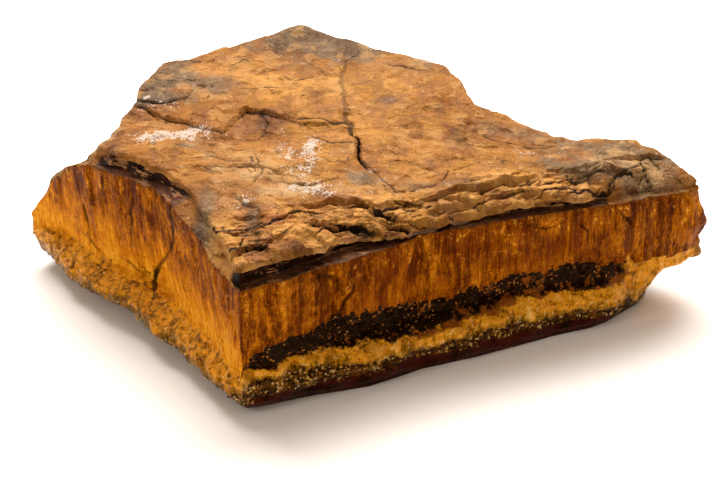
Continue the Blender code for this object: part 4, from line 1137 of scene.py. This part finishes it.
# The nodes in use, by what each does: its kind, its settings, the sockets that its parts go into in
# turn, and the socket that is read from it.
NODES = {
    "place": ("ShaderNodeTexCoord", {}, (), "Object"),
    "number": ("ShaderNodeAttribute", {}, (), "Fac"),
    "vector": ("ShaderNodeAttribute", {}, (), "Vector"),
    "math": ("ShaderNodeMath", {}, (0, 1, 2), 0),
    "times": ("ShaderNodeMath", {"operation": "MULTIPLY"}, (0, 1), 0),
    "stretch": ("ShaderNodeVectorMath", {"operation": "MULTIPLY_ADD"}, (0, 1, 2), 0),
    "range": ("ShaderNodeMapRange", {"interpolation_type": "SMOOTHSTEP"},
              ("Value", "From Min", "From Max", "To Min", "To Max"), "Result"),
    "noise": ("ShaderNodeTexNoise", {}, ("Vector", "Scale", "Detail", "Roughness"), "Fac"),
    "stir": ("ShaderNodeTexNoise", {}, ("Vector", "Scale", "Detail"), "Color"),
    "cells": ("ShaderNodeTexVoronoi", {}, ("Vector", "Scale"), "Color"),
    "edges": ("ShaderNodeTexVoronoi", {"feature": "DISTANCE_TO_EDGE"}, ("Vector", "Scale"), "Distance"),
    "red": ("ShaderNodeSeparateColor", {}, ("Color",), "Red"),
    "ramp": ("ShaderNodeValToRGB", {}, ("Fac",), "Color"),
    "over": ("ShaderNodeMix", {"data_type": "RGBA"}, (6, 7, 0), 2),
    "bump": ("ShaderNodeBump", {}, ("Height", "Distance"), "Normal"),
}


def linear(code):
    """An sRGB hex colour as linear red, green and blue."""
    parts = [int(code[i : i + 2], 16) / 255 for i in (1, 3, 5)]
    return tuple(c / 12.92 if c <= 0.04045 else ((c + 0.055) / 1.055) ** 2.4 for c in parts)


def rgba(colour):
    """A colour, as an sRGB hex code or as linear red, green and blue, with its alpha."""
    return (*(linear(colour) if isinstance(colour, str) else colour), 1.0)


def give(tree, socket, part):
    """Links a socket to its part, where that is another node's, or sets it to a number, vector or colour."""
    if isinstance(part, bpy.types.NodeSocket):
        tree.links.new(part, socket)
    else:
        socket.default_value = rgba(part) if socket.type == "RGBA" else part


def add(tree, use, *parts, stops=(), **settings):
    """Adds one of NODES with its settings, the parts that its sockets are given and its ramp's stops, and
    returns the socket that is read from it."""
    kind, fixed, sockets, output = NODES[use]
    made = tree.nodes.new(kind)
    for name, value in {**fixed, **settings}.items():
        setattr(made, name, value)
    for name, part in zip(sockets, parts):
        give(tree, made.inputs[name], part)
    for i, (place, colour) in enumerate(stops):
        elements = made.color_ramp.elements
        element = elements[i] if i < len(elements) else elements.new(1.0)
        element.position, element.color = place, rgba(colour)
    return made.outputs[output]


def numbers(tree, names):
    """The mesh's own numbers, by name."""
    return (add(tree, "number", attribute_name=name) for name in names.split())


def total(tree, start, *terms):
    """A sum of sockets, each times its weight, from a starting socket or number."""
    for source, weight in terms:
        start = add(tree, "math", source, weight, start, operation="MULTIPLY_ADD")
    return start


def grain(tree, size, detail=3.0, source=None, stretch=(1.0, 1.0, 1.0)):
    """Noise about zero, of a size in millimetres, on Object coordinates or on a source in millimetres."""
    if source is None:
        source, size = add(tree, "place"), size * MM
    scaled = add(tree, "stretch", source, tuple(s / size for s in stretch))
    return total(tree, -0.5, (add(tree, "noise", scaled, 1.0, detail, 0.6), 1.0))


def stirred_place(tree, size, wander, shift, stretch):
    """Object coordinates in steps of a size in millimetres, stirred by noise so that cells get ragged."""
    scaled = add(tree, "stretch", add(tree, "place"), tuple(s / (size * MM) for s in stretch), (shift,) * 3)
    return add(tree, "stretch", add(tree, "stir", scaled, 1.6, 2.0), (wander,) * 3, scaled)


def grains(tree, size, wander=0.5, shift=0.0, stretch=(1.0, 1.0, 1.0)):
    """A number from 0 to 1 for each crystal grain of a size in millimetres, with ragged outlines."""
    place = stirred_place(tree, size, wander, shift, stretch)
    return add(tree, "red", add(tree, "cells", place, 1.0))


def hairlines(tree, size, width, shift, stretch):
    """1 on the lines between ragged cells of a size in millimetres, width wide, and 0 inside the cells."""
    edges = add(tree, "edges", stirred_place(tree, size, 0.9, shift, stretch), 1.0)
    return add(tree, "range", edges, 0.25 * width / size, 0.5 * width / size, 1.0, 0.0)


def crack_and_shade_mask(tree):
    """1 on a dark line, as dark as that line is, and 0 off it: on cracks and crevices, and on the painted
    shade at the feet of the cap's flake edges, ledge creases and steps.
    """
    ratio, dark = numbers(tree, "crack crack_dark")
    width = add(tree, "math", total(tree, ratio, (grain(tree, 0.5), 0.6)), operation="ABSOLUTE")
    return add(tree, "range", width, 1.1, 0.5, 0.0, dark)


def coated(tree, colour, *coats):
    """A colour under coats of others. Each coat is (colour, mask), or (colour, source, low, high, amount):
    none of it where the source is at low, and that amount, or all, where it is at high."""
    for coat, source, *span in coats:
        mask = add(tree, "range", source, *span[:2], 0.0, *span[2:]) if span else source
        colour = add(tree, "over", colour, coat, mask)
    return colour


def new_material(name):
    """A new material, its tree and its Principled shader."""
    material = bpy.data.materials.new(name)
    material.use_nodes = True
    return material, material.node_tree, material.node_tree.nodes["Principled BSDF"]


def finish(tree, shader, colour, roughness, specular, gleam, height, depth):
    """Gives the shader its colour, its gloss and a bump of a depth in millimetres."""
    bump = add(tree, "bump", height, depth * MM)
    names = ("Base Color", "Roughness", "Specular IOR Level", "Specular Tint", "Normal")
    for name, part in zip(names, (colour, roughness, specular, gleam, bump)):
        give(tree, shader.inputs[name], part)


def skin_material(settings):
    """Goethite and limonite skin on ironstone, weathered in the ground: dull earthy ochre with grey patches,
    white crust in its hollows and near-black cracks, rubbed a little smoother on its high spots. Its hollows,
    steep faces and the feet of its flake edges, ledges and steps are darkened with painted shade, and its
    torn front slope is made a little lighter with painted light."""
    material, tree, shader = new_material("weathered_ironstone_skin")
    bright, brown, grey, crust, red, pale = numbers(tree, "bright brown grey crust red pale")
    torn, hollow, slope = numbers(tree, "torn hollow slope")
    deep = (1.0, 0.66, 1.0)
    broad, mid, small, fine = (
        grain(tree, size, detail, stretch=deep)
        for size, detail in ((9.0, 3.0), (3.0, 4.0), (0.9, 4.0), (0.30, 3.0))
    )
    warm = grain(tree, 6.0, 4.0)
    bedded = grain(tree, 1.6, 5.0, stretch=(0.65, 1.0, 1.0))
    flake = total(tree, -0.5, (grains(tree, 4.2, 0.6, 31.0, (0.8, 1.3, 1.0)), 1.0))
    # The torn front ground is made a little lighter as painted light, since its slopes face away from the
    # lamp; the flakes there vary in tone.
    tone = total(
        tree, 0.58, (bright, 0.22), (brown, -0.42), (torn, 0.06), (add(tree, "times", torn, flake), 0.55),
        (broad, 0.85), (mid, 0.40), (bedded, 0.04), (small, 0.32), (fine, 0.34),
    )
    colour = add(tree, "ramp", tone, stops=(
        (0.10, "#241105"), (0.33, "#593013"), (0.50, "#88521d"), (0.66, settings.skin), (0.84, "#c18843"),
    ))
    patina_tone = total(tree, 0.5, (mid, 0.8), (small, 0.6), (fine, 0.5), (broad, 0.6))
    patina = add(tree, "ramp", patina_tone, stops=(
        (0.25, "#3c2e20"), (0.5, settings.patina), (0.8, "#86705a"),
    ))
    chips = grains(tree, 1.5, 0.8, 3.0, (0.8, 0.8, 1.0))
    uneven_chips = total(tree, chips, (mid, 0.6))
    lines = add(tree, "range", total(tree, mid, (broad, 1.2), (small, 0.3), (torn, 0.05)), 0.13, 0.22, 0.0,
                hairlines(tree, 5.0, 0.22, 11.0, (0.7, 0.9, 1.0)))
    shards = add(tree, "range", total(tree, -0.34, (torn, 0.34), (mid, 1.0), (broad, 0.6)), 0.08, 0.18, 0.0,
                 hairlines(tree, 3.0, 0.30, 23.0, (0.55, 1.0, 1.0)))
    either = add(tree, "math", lines, shards, operation="MAXIMUM")
    steep = total(tree, slope, (small, 0.25), (fine, 0.2))
    colour = coated(
        tree, colour,
        ("#8f6140", warm, 0.02, 0.16, 0.45),
        ("#a87222", warm, -0.02, -0.16, 0.35),
        ("#83371a", total(tree, red, (mid, 1.2)), 0.35, 0.8, 0.55),
        (patina, total(tree, grey, (mid, 1.1), (small, 0.8), (broad, 0.8), (fine, 0.4)), 0.12, 0.80, 0.85),
        ("#b08a5c", total(tree, pale, (mid, 1.0), (fine, 0.8)), 0.35, 0.8, 0.8),
        ("#3a1c09", total(tree, small, (mid, 0.7), (fine, 0.5)), 0.22, 0.34, 0.7),
        ("#c08d50", uneven_chips, 0.80, 0.92, 0.35),
        ("#5a3416", uneven_chips, 0.24, 0.12, 0.35),
        ("#2a1408", add(tree, "times", either, 0.75)),
        # Painted shade on steep faces, such as the risers of the ledges, partly the dark broken rock of those
        # risers.
        ("#45260f", steep, 0.05, 0.30, total(tree, 0.10, (torn, 0.12))),
        (settings.crust, total(tree, crust, (small, 2.0), (fine, 2.4), (bedded, 1.0)), 0.50, 0.85, 0.9),
        # Painted shade in the hollows, pits and crumbled ground, partly the dark ironstone showing there.
        ("#0d0502", total(tree, hollow, (fine, 0.5), (small, 0.4)), 0.30, 0.75),
        # The dark lines of cracks, and the painted shade along the flake edges, ledge creases and steps.
        ("#120803", crack_and_shade_mask(tree)),
    )
    roughness = add(tree, "range", mid, -0.2, 0.2, 0.50, 0.72)
    height = total(
        tree, mid, (small, 0.6), (fine, 0.5), (bedded, 0.3), (chips, 0.30), (lines, -0.4), (shards, -0.6)
    )
    finish(tree, shader, colour, roughness, 0.20, "#ffd0a0", height, 0.42)
    return material


def fibre_material(settings):
    """Quartz grown after crocidolite fibres, freshly split: fine parallel threads in gold and dark brown
    with a silky golden gleam across them. The threads are drawn coarser than the real 0.05 mm."""
    material, tree, shader = new_material("silky_fibres")
    bed, over_seam, shine, tip = numbers(tree, "bed over_seam shine tip")
    fibre = add(tree, "vector", attribute_name="fibre")
    thin = grain(tree, 0.20, 3.0, fibre, (1.0, 1.0, 0.11))
    thick = grain(tree, 0.9, 4.0, fibre, (1.0, 1.0, 0.08))
    cloud = grain(tree, 4.0, 4.0, fibre, (1.0, 1.0, 0.55))
    warm = grain(tree, 9.0, 3.0, fibre, (1.0, 1.0, 0.5))
    specks = grain(tree, 0.35, 2.0)
    flecks = grain(tree, 1.2, 4.0)
    # Painted light: the low fibres of the left side, and a little those of the right tip, are made lighter,
    # as they catch the light there.
    low = add(tree, "range", total(tree, bed, (cloud, 6.0)), BLACK_TOP, BLACK_TOP + 11.5, 0.385, 0.0)
    tone = total(
        tree, 0.465, (thin, 0.60), (thick, 0.74), (cloud, 0.92), (specks, 0.36), (flecks, 0.36),
        (tip, 0.02), (add(tree, "times", shine, low), 1.0),
    )
    colour = add(tree, "ramp", tone, stops=(
        (0.14, "#341402"), (0.36, settings.fibre_brown), (0.53, "#9e5506"), (0.72, settings.fibre_gold),
        (0.95, "#f4a826"),
    ))
    near_top = add(tree, "range", total(tree, over_seam, (cloud, 12.0)), -7.0, -1.0, 0.15, 0.8)
    colour = coated(
        tree, colour,
        ("#803503", total(tree, warm, (shine, -0.2), (tip, -0.2)), -0.04, 0.10, 0.36),
        ("#f0a536", total(tree, flecks, (specks, 0.5), (thick, 0.4)), 0.12, 0.2, near_top),
        # Painted shade under the overhanging lip: the top of the fibres, just under the cap, is darkened.
        ("#2a1003", total(tree, over_seam, (thick, 4.0), (cloud, 3.0)), -0.9, 0.5, 0.55),
        ("#140602", crack_and_shade_mask(tree)),
    )
    height = total(tree, thick, (thin, 0.6), (specks, 0.3))
    finish(tree, shader, colour, 0.42, 0.06, "#c06a10", height, 0.45)
    shader.inputs["Anisotropic"].default_value = 0.4
    return material


def band_material(settings):
    """Grains of iron oxide and quartz in beds under the fibres: a black bed with brown and gold grains, a
    golden bed of short threads, and a grey bed of black, olive, gold and white grains."""
    material, tree, shader = new_material("banded_grains")
    own_bed, shine, tip, coal, hidden = numbers(tree, "bed shine tip coal hidden")
    fibre = add(tree, "vector", attribute_name="fibre")
    coarse, mid, fine = grain(tree, 3.0, 4.0), grain(tree, 1.1, 4.0), grain(tree, 0.4, 3.0)
    upright = grain(tree, 0.45, 3.0, fibre, (1.0, 1.0, 0.18))
    soft = grain(tree, 2.6, 2.0, fibre, (1.0, 1.0, 0.30))
    crystal, speck = grains(tree, 0.34), grains(tree, 0.28, 0.5, 7.0)
    lump = grains(tree, 1.5, 0.7, 5.0, (1.0, 1.0, 0.6))
    clumps = total(tree, 0.0, (coarse, 1.0), (mid, 0.8))
    bed = total(tree, own_bed, (coarse, 2.6), (mid, 1.4), (fine, 0.6))

    grey_tone = total(tree, crystal, (clumps, 0.9), (fine, 0.5), (shine, 0.14))
    grey = add(tree, "ramp", grey_tone, stops=(
        (0.10, "#120701"), (0.36, "#2c1605"), (0.60, settings.band_grey), (0.86, "#794a0e"), (1.0, "#c89c48"),
    ))
    grey = coated(
        tree, grey,
        ("#8f5410", soft, 0.04, 0.20, 0.6),
        ("#d2b680", total(tree, crystal, (mid, 0.8), (shine, 0.12)), 0.90, 0.97, 0.6),
    )

    # The gold is lighter at the right tip, partly its fresher breaks and partly painted light on the side
    # turned from the lamp. It is darker and more olive on the left side.
    golden_tone = total(
        tree, 0.45, (upright, 0.95), (mid, 0.36), (fine, 0.30), (soft, 0.95), (coarse, 0.3), (lump, 0.14),
        (shine, -0.15), (tip, 0.12),
    )
    golden = add(tree, "ramp", golden_tone, stops=(
        (0.06, "#3a1e03"), (0.28, "#754a0a"), (0.47, settings.band_gold), (0.64, "#e49c20"),
        (0.86, "#ffd888"),
    ))
    golden = coated(
        tree, golden,
        ("#7c4609", add(tree, "times", shine, 0.28)),
        ("#ffe2a4", total(tree, speck, (mid, 0.5)), 0.93, 0.98, 0.5),
        ("#6e560e", bed, GREY_TOP + 0.9, GREY_TOP, 0.5),
    )

    black = add(tree, "ramp", total(tree, speck, (clumps, 0.7), (fine, 0.6)), stops=(
        (0.70, settings.band_black), (0.90, "#1d0803"), (0.98, "#6a340a"), (1.0, "#b57838"),
    ))
    low = add(tree, "range", bed, GOLD_TOP + 2.2, GOLD_TOP + 0.4)
    brown_clumps = total(tree, clumps, (coal, -0.5), (low, 0.14), (fine, 0.2))
    black = coated(tree, black, ("#8a480e", brown_clumps, -0.28, -0.18, 0.85))

    has_coal = add(tree, "range", total(tree, coal, (coarse, 1.1), (mid, 0.8)), 0.15, 0.35)
    rim = add(tree, "range", bed, GOLD_TOP - 1.1, GOLD_TOP - 0.5, 0.0, 0.7)
    dull = add(tree, "range", total(tree, coarse, (mid, 0.6)), -0.10, 0.12, 0.25, 0.8)
    sole_tone = total(tree, 0.5, (mid, 1.2))
    sole = add(tree, "ramp", sole_tone, stops=((0.3, "#1c0602"), (0.7, settings.haematite)))
    colour = coated(
        tree, sole,
        (grey, bed, SOLE_TOP - 0.4, SOLE_TOP + 0.1),
        (golden, bed, GREY_TOP - 0.2, GREY_TOP + 0.3),
        ("#f2a024", mid, -0.12, 0.1, rim),
        (black, bed, GOLD_TOP - 0.15, GOLD_TOP + 0.25, has_coal),
        ("#5c3a1a", add(tree, "times", hidden, dull)),
        ("#140602", crack_and_shade_mask(tree)),
    )
    height = total(tree, mid, (upright, 0.5), (fine, 0.5), (crystal, 0.25), (lump, 0.6))
    finish(tree, shader, colour, 0.33, 0.22, "#d89038", height, 0.32)
    return material


def broken_material(settings):
    """Fresh breaks of haematite-rich ironstone: dark red-brown to black in thin beds, dull to semi-matt. In
    the slot under the cap's lip it is darkened further with painted shade.
    """
    material, tree, shader = new_material("fresh_ironstone")
    hollow, over_seam = numbers(tree, "hollow over_seam")
    layer = grain(tree, 0.8, 5.0, stretch=(0.25, 0.25, 1.2))
    leaf = grain(tree, 0.45, 3.0, stretch=(0.10, 0.10, 1.0))
    broad, small, fine = grain(tree, 4.0, 4.0), grain(tree, 1.2, 4.0), grain(tree, 0.5, 3.0)
    tone = total(tree, 0.46, (layer, 1.2), (small, 0.5), (fine, 0.4))
    colour = add(tree, "ramp", tone, stops=(
        (0.30, "#100402"), (0.50, "#300c06"), (0.70, "#5a2410"), (0.88, "#8a5626"),
    ))
    depth = add(tree, "range", total(tree, layer, (small, 0.6)), -0.05, 0.16, 0.9, 0.1)
    in_slot = add(tree, "range", hollow, 0.02, 0.15, 0.0, 0.75)
    above = add(tree, "range", over_seam, -0.1, 0.1)
    rind = add(tree, "range", total(tree, hollow, (small, 0.5)), 0.28, 0.10, 0.0, 0.7)
    layered = total(tree, layer, (small, 0.4), (hollow, 0.2))
    ledge = add(tree, "times", above, add(tree, "range", layered, 0.0, 0.14, 0.1, 0.7))
    colour = coated(
        tree, colour,
        (settings.haematite, broad, -0.05, 0.1, 0.5),
        # Painted shade in the slot under the cap's lip, partly the dark iron beds there.
        ("#070302", add(tree, "times", hollow, depth)),
        ("#a8774a", total(tree, leaf, (small, 0.4), (broad, 0.5)), 0.03, 0.10, in_slot),
        ("#6e5238", add(tree, "times", above, rind)),
        ("#64402c", total(tree, over_seam, (small, 1.0)), 0.60, 0.25, ledge),
    )
    height = total(tree, layer, (small, 0.5), (fine, 0.6))
    finish(tree, shader, colour, 0.50, 0.25, "#c8844a", height, 0.5)
    return material


def plain_finish(name, code):
    """White emulsion on a studio floor: quite matt, with no gleam."""
    material, tree, shader = new_material(name)
    for socket, part in (("Base Color", code), ("Roughness", 0.9), ("Specular IOR Level", 0.0)):
        give(tree, shader.inputs[socket], part)
    return material


# ---------------------------------------------------------------- the add-on


def colour_property(name, description, code):
    """A colour that a user may change."""
    return bpy.props.FloatVectorProperty(
        name=name, description=description, subtype="COLOR", size=3, min=0.0, max=1.0, default=linear(code)
    )


class TigersEyeSettings(bpy.types.PropertyGroup):
    """Sizes, colours and light of the rough tiger's eye and its studio."""

    relief: bpy.props.FloatProperty(
        name="Relief", description="Share of the fine relief that the stone is given", subtype="FACTOR",
        default=1.0, min=0.0, max=1.5,
    )
    skin: colour_property("Skin", "The cap's orange ochre skin", "#9f682a")
    patina: colour_property("Patina", "The grey patches on the cap", "#675540")
    crust: colour_property("Crust", "The white crust in the cap's hollows", "#c2b0a0")
    fibre_gold: colour_property("Fibre gold", "The bright threads", "#cf7b0a")
    fibre_brown: colour_property("Fibre brown", "The dark threads", "#642b02")
    band_grey: colour_property("Grey band", "The olive grains of the grey band", "#53320a")
    band_gold: colour_property("Gold band", "The golden band", "#bf7a0e")
    band_black: colour_property("Black band", "The black band", "#080201")
    haematite: colour_property("Haematite", "The red of fresh breaks", "#4c0f08")
    camera_distance: bpy.props.FloatProperty(
        name="Camera distance", description="Distance of the camera from the stone", unit="LENGTH",
        default=0.32, min=0.1, max=2.0,
    )
    camera_height: bpy.props.FloatProperty(
        name="Camera height", description="Angle of the camera over the floor", subtype="ANGLE",
        default=math.radians(30),
    )
    floor_size: bpy.props.FloatProperty(
        name="Floor size", description="Width of the studio floor", unit="LENGTH",
        default=3.0, min=0.5, max=10.0,
    )
    light_power: bpy.props.FloatProperty(
        name="Light power", description="Power of the soft light", unit="POWER",
        default=6.0, min=0.0, max=50.0,
    )
    fill_power: bpy.props.FloatProperty(
        name="Fill power", description="Power of the small light on the left", unit="POWER",
        default=0.18, min=0.0, max=5.0,
    )


class OBJECT_OT_tigers_eye_stone(bpy.types.Operator):
    """Make the stone, with its banded sides and weathered cap"""

    bl_idname = "object.tigers_eye_stone"
    bl_label = "Tiger's Eye Stone"

    def execute(self, context):
        settings = context.scene.tigers_eye
        stone = bpy.data.objects.new("tigers_eye_stone", stone_mesh(settings.relief))
        for make in (skin_material, fibre_material, band_material, broken_material):
            stone.data.materials.append(make(settings))
        context.scene.collection.objects.link(stone)
        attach(stone, "root")
        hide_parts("stone")
        return {"FINISHED"}


# The studio. The lights' sizes and places and what they and the camera look at are in metres, the lens
# and its sensor in millimetres.
FLOOR_COLOUR = "#fbf6f0"
SKY_COLOUR = "#ffeedd"
SKY_STRENGTH = 0.51
SOFTBOX_SIZE, SOFTBOX_PLACE = (0.60, 0.30), (-0.01, 0.28, 0.42)
FILL_SIZE, FILL_PLACE = (0.08, 0.08), (-0.30, -0.22, 0.24)
LIGHT_AIM = Vector((0.0, 0.0, 0.01))
CAMERA_AIM = Vector((0.0, -0.0055, 0.014))
FOCAL_LENGTH = 100.0
SENSOR_WIDTH = 36.0


def aimed(data, place, target):
    """A light or a camera at a place, turned to look at a target."""
    made = bpy.data.objects.new(data.name, data)
    made.location = place
    made.rotation_euler = (target - made.location).to_track_quat("-Z", "Y").to_euler()
    return made


def area_light(name, power, size, place):
    """A rectangular light that shines on the stone."""
    light = bpy.data.lights.new(name, "AREA")
    light.shape = "RECTANGLE"
    light.energy = power
    light.size, light.size_y = size
    return aimed(light, place, LIGHT_AIM)


class OBJECT_OT_tigers_eye_stage(bpy.types.Operator):
    """Make the pale floor, the soft light and the camera"""

    bl_idname = "object.tigers_eye_stage"
    bl_label = "Tiger's Eye Studio"

    def execute(self, context):
        scene = context.scene
        settings = scene.tigers_eye
        half = settings.floor_size / 2
        corners = [(-half, -half, 0.0), (half, -half, 0.0), (half, half, 0.0), (-half, half, 0.0)]
        sheet = bpy.data.meshes.new("studio_floor")
        sheet.from_pydata(corners, [], [(0, 1, 2, 3)])
        sheet.materials.append(plain_finish("studio_white", FLOOR_COLOUR))
        floor = bpy.data.objects.new("studio_floor", sheet)
        softbox = area_light("studio_softbox", settings.light_power, SOFTBOX_SIZE, SOFTBOX_PLACE)
        fill = area_light("studio_fill", settings.fill_power, FILL_SIZE, FILL_PLACE)
        world = bpy.data.worlds.new("studio_world")
        world.use_nodes = True
        background = world.node_tree.nodes["Background"]
        background.inputs["Color"].default_value = rgba(SKY_COLOUR)
        background.inputs["Strength"].default_value = SKY_STRENGTH
        scene.world = world
        lens = bpy.data.cameras.new("studio_camera")
        lens.lens, lens.sensor_width = FOCAL_LENGTH, SENSOR_WIDTH
        angle = settings.camera_height
        away = Vector((0.0, -math.cos(angle), math.sin(angle)))
        camera = aimed(lens, CAMERA_AIM + settings.camera_distance * away, CAMERA_AIM)
        for thing in (floor, softbox, fill, camera):
            scene.collection.objects.link(thing)
        scene.camera = camera
        scene.view_settings.view_transform = "Standard"
        return {"FINISHED"}


class VIEW3D_PT_tigers_eye(bpy.types.Panel):
    """The tiger's eye's pieces in the sidebar"""

    bl_label = "Tiger's Eye"
    bl_idname = "VIEW3D_PT_tigers_eye"
    bl_space_type = "VIEW_3D"
    bl_region_type = "UI"
    bl_category = "Tiger's Eye"

    def draw(self, context):
        settings = context.scene.tigers_eye
        for name in settings.__annotations__:
            self.layout.prop(settings, name)
        for operator in (OBJECT_OT_tigers_eye_stone, OBJECT_OT_tigers_eye_stage):
            self.layout.operator(operator.bl_idname)


CLASSES = (TigersEyeSettings, OBJECT_OT_tigers_eye_stone, OBJECT_OT_tigers_eye_stage, VIEW3D_PT_tigers_eye)


def register():
    for item in CLASSES:
        bpy.utils.register_class(item)
    bpy.types.Scene.tigers_eye = bpy.props.PointerProperty(type=TigersEyeSettings)


def unregister():
    del bpy.types.Scene.tigers_eye
    for item in reversed(CLASSES):
        bpy.utils.unregister_class(item)


def main():
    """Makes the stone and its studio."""
    register()
    bpy.ops.object.tigers_eye_stone()
    bpy.ops.object.tigers_eye_stage()
    bpy.context.view_layer.update()


if __name__ == "__main__":
    main()
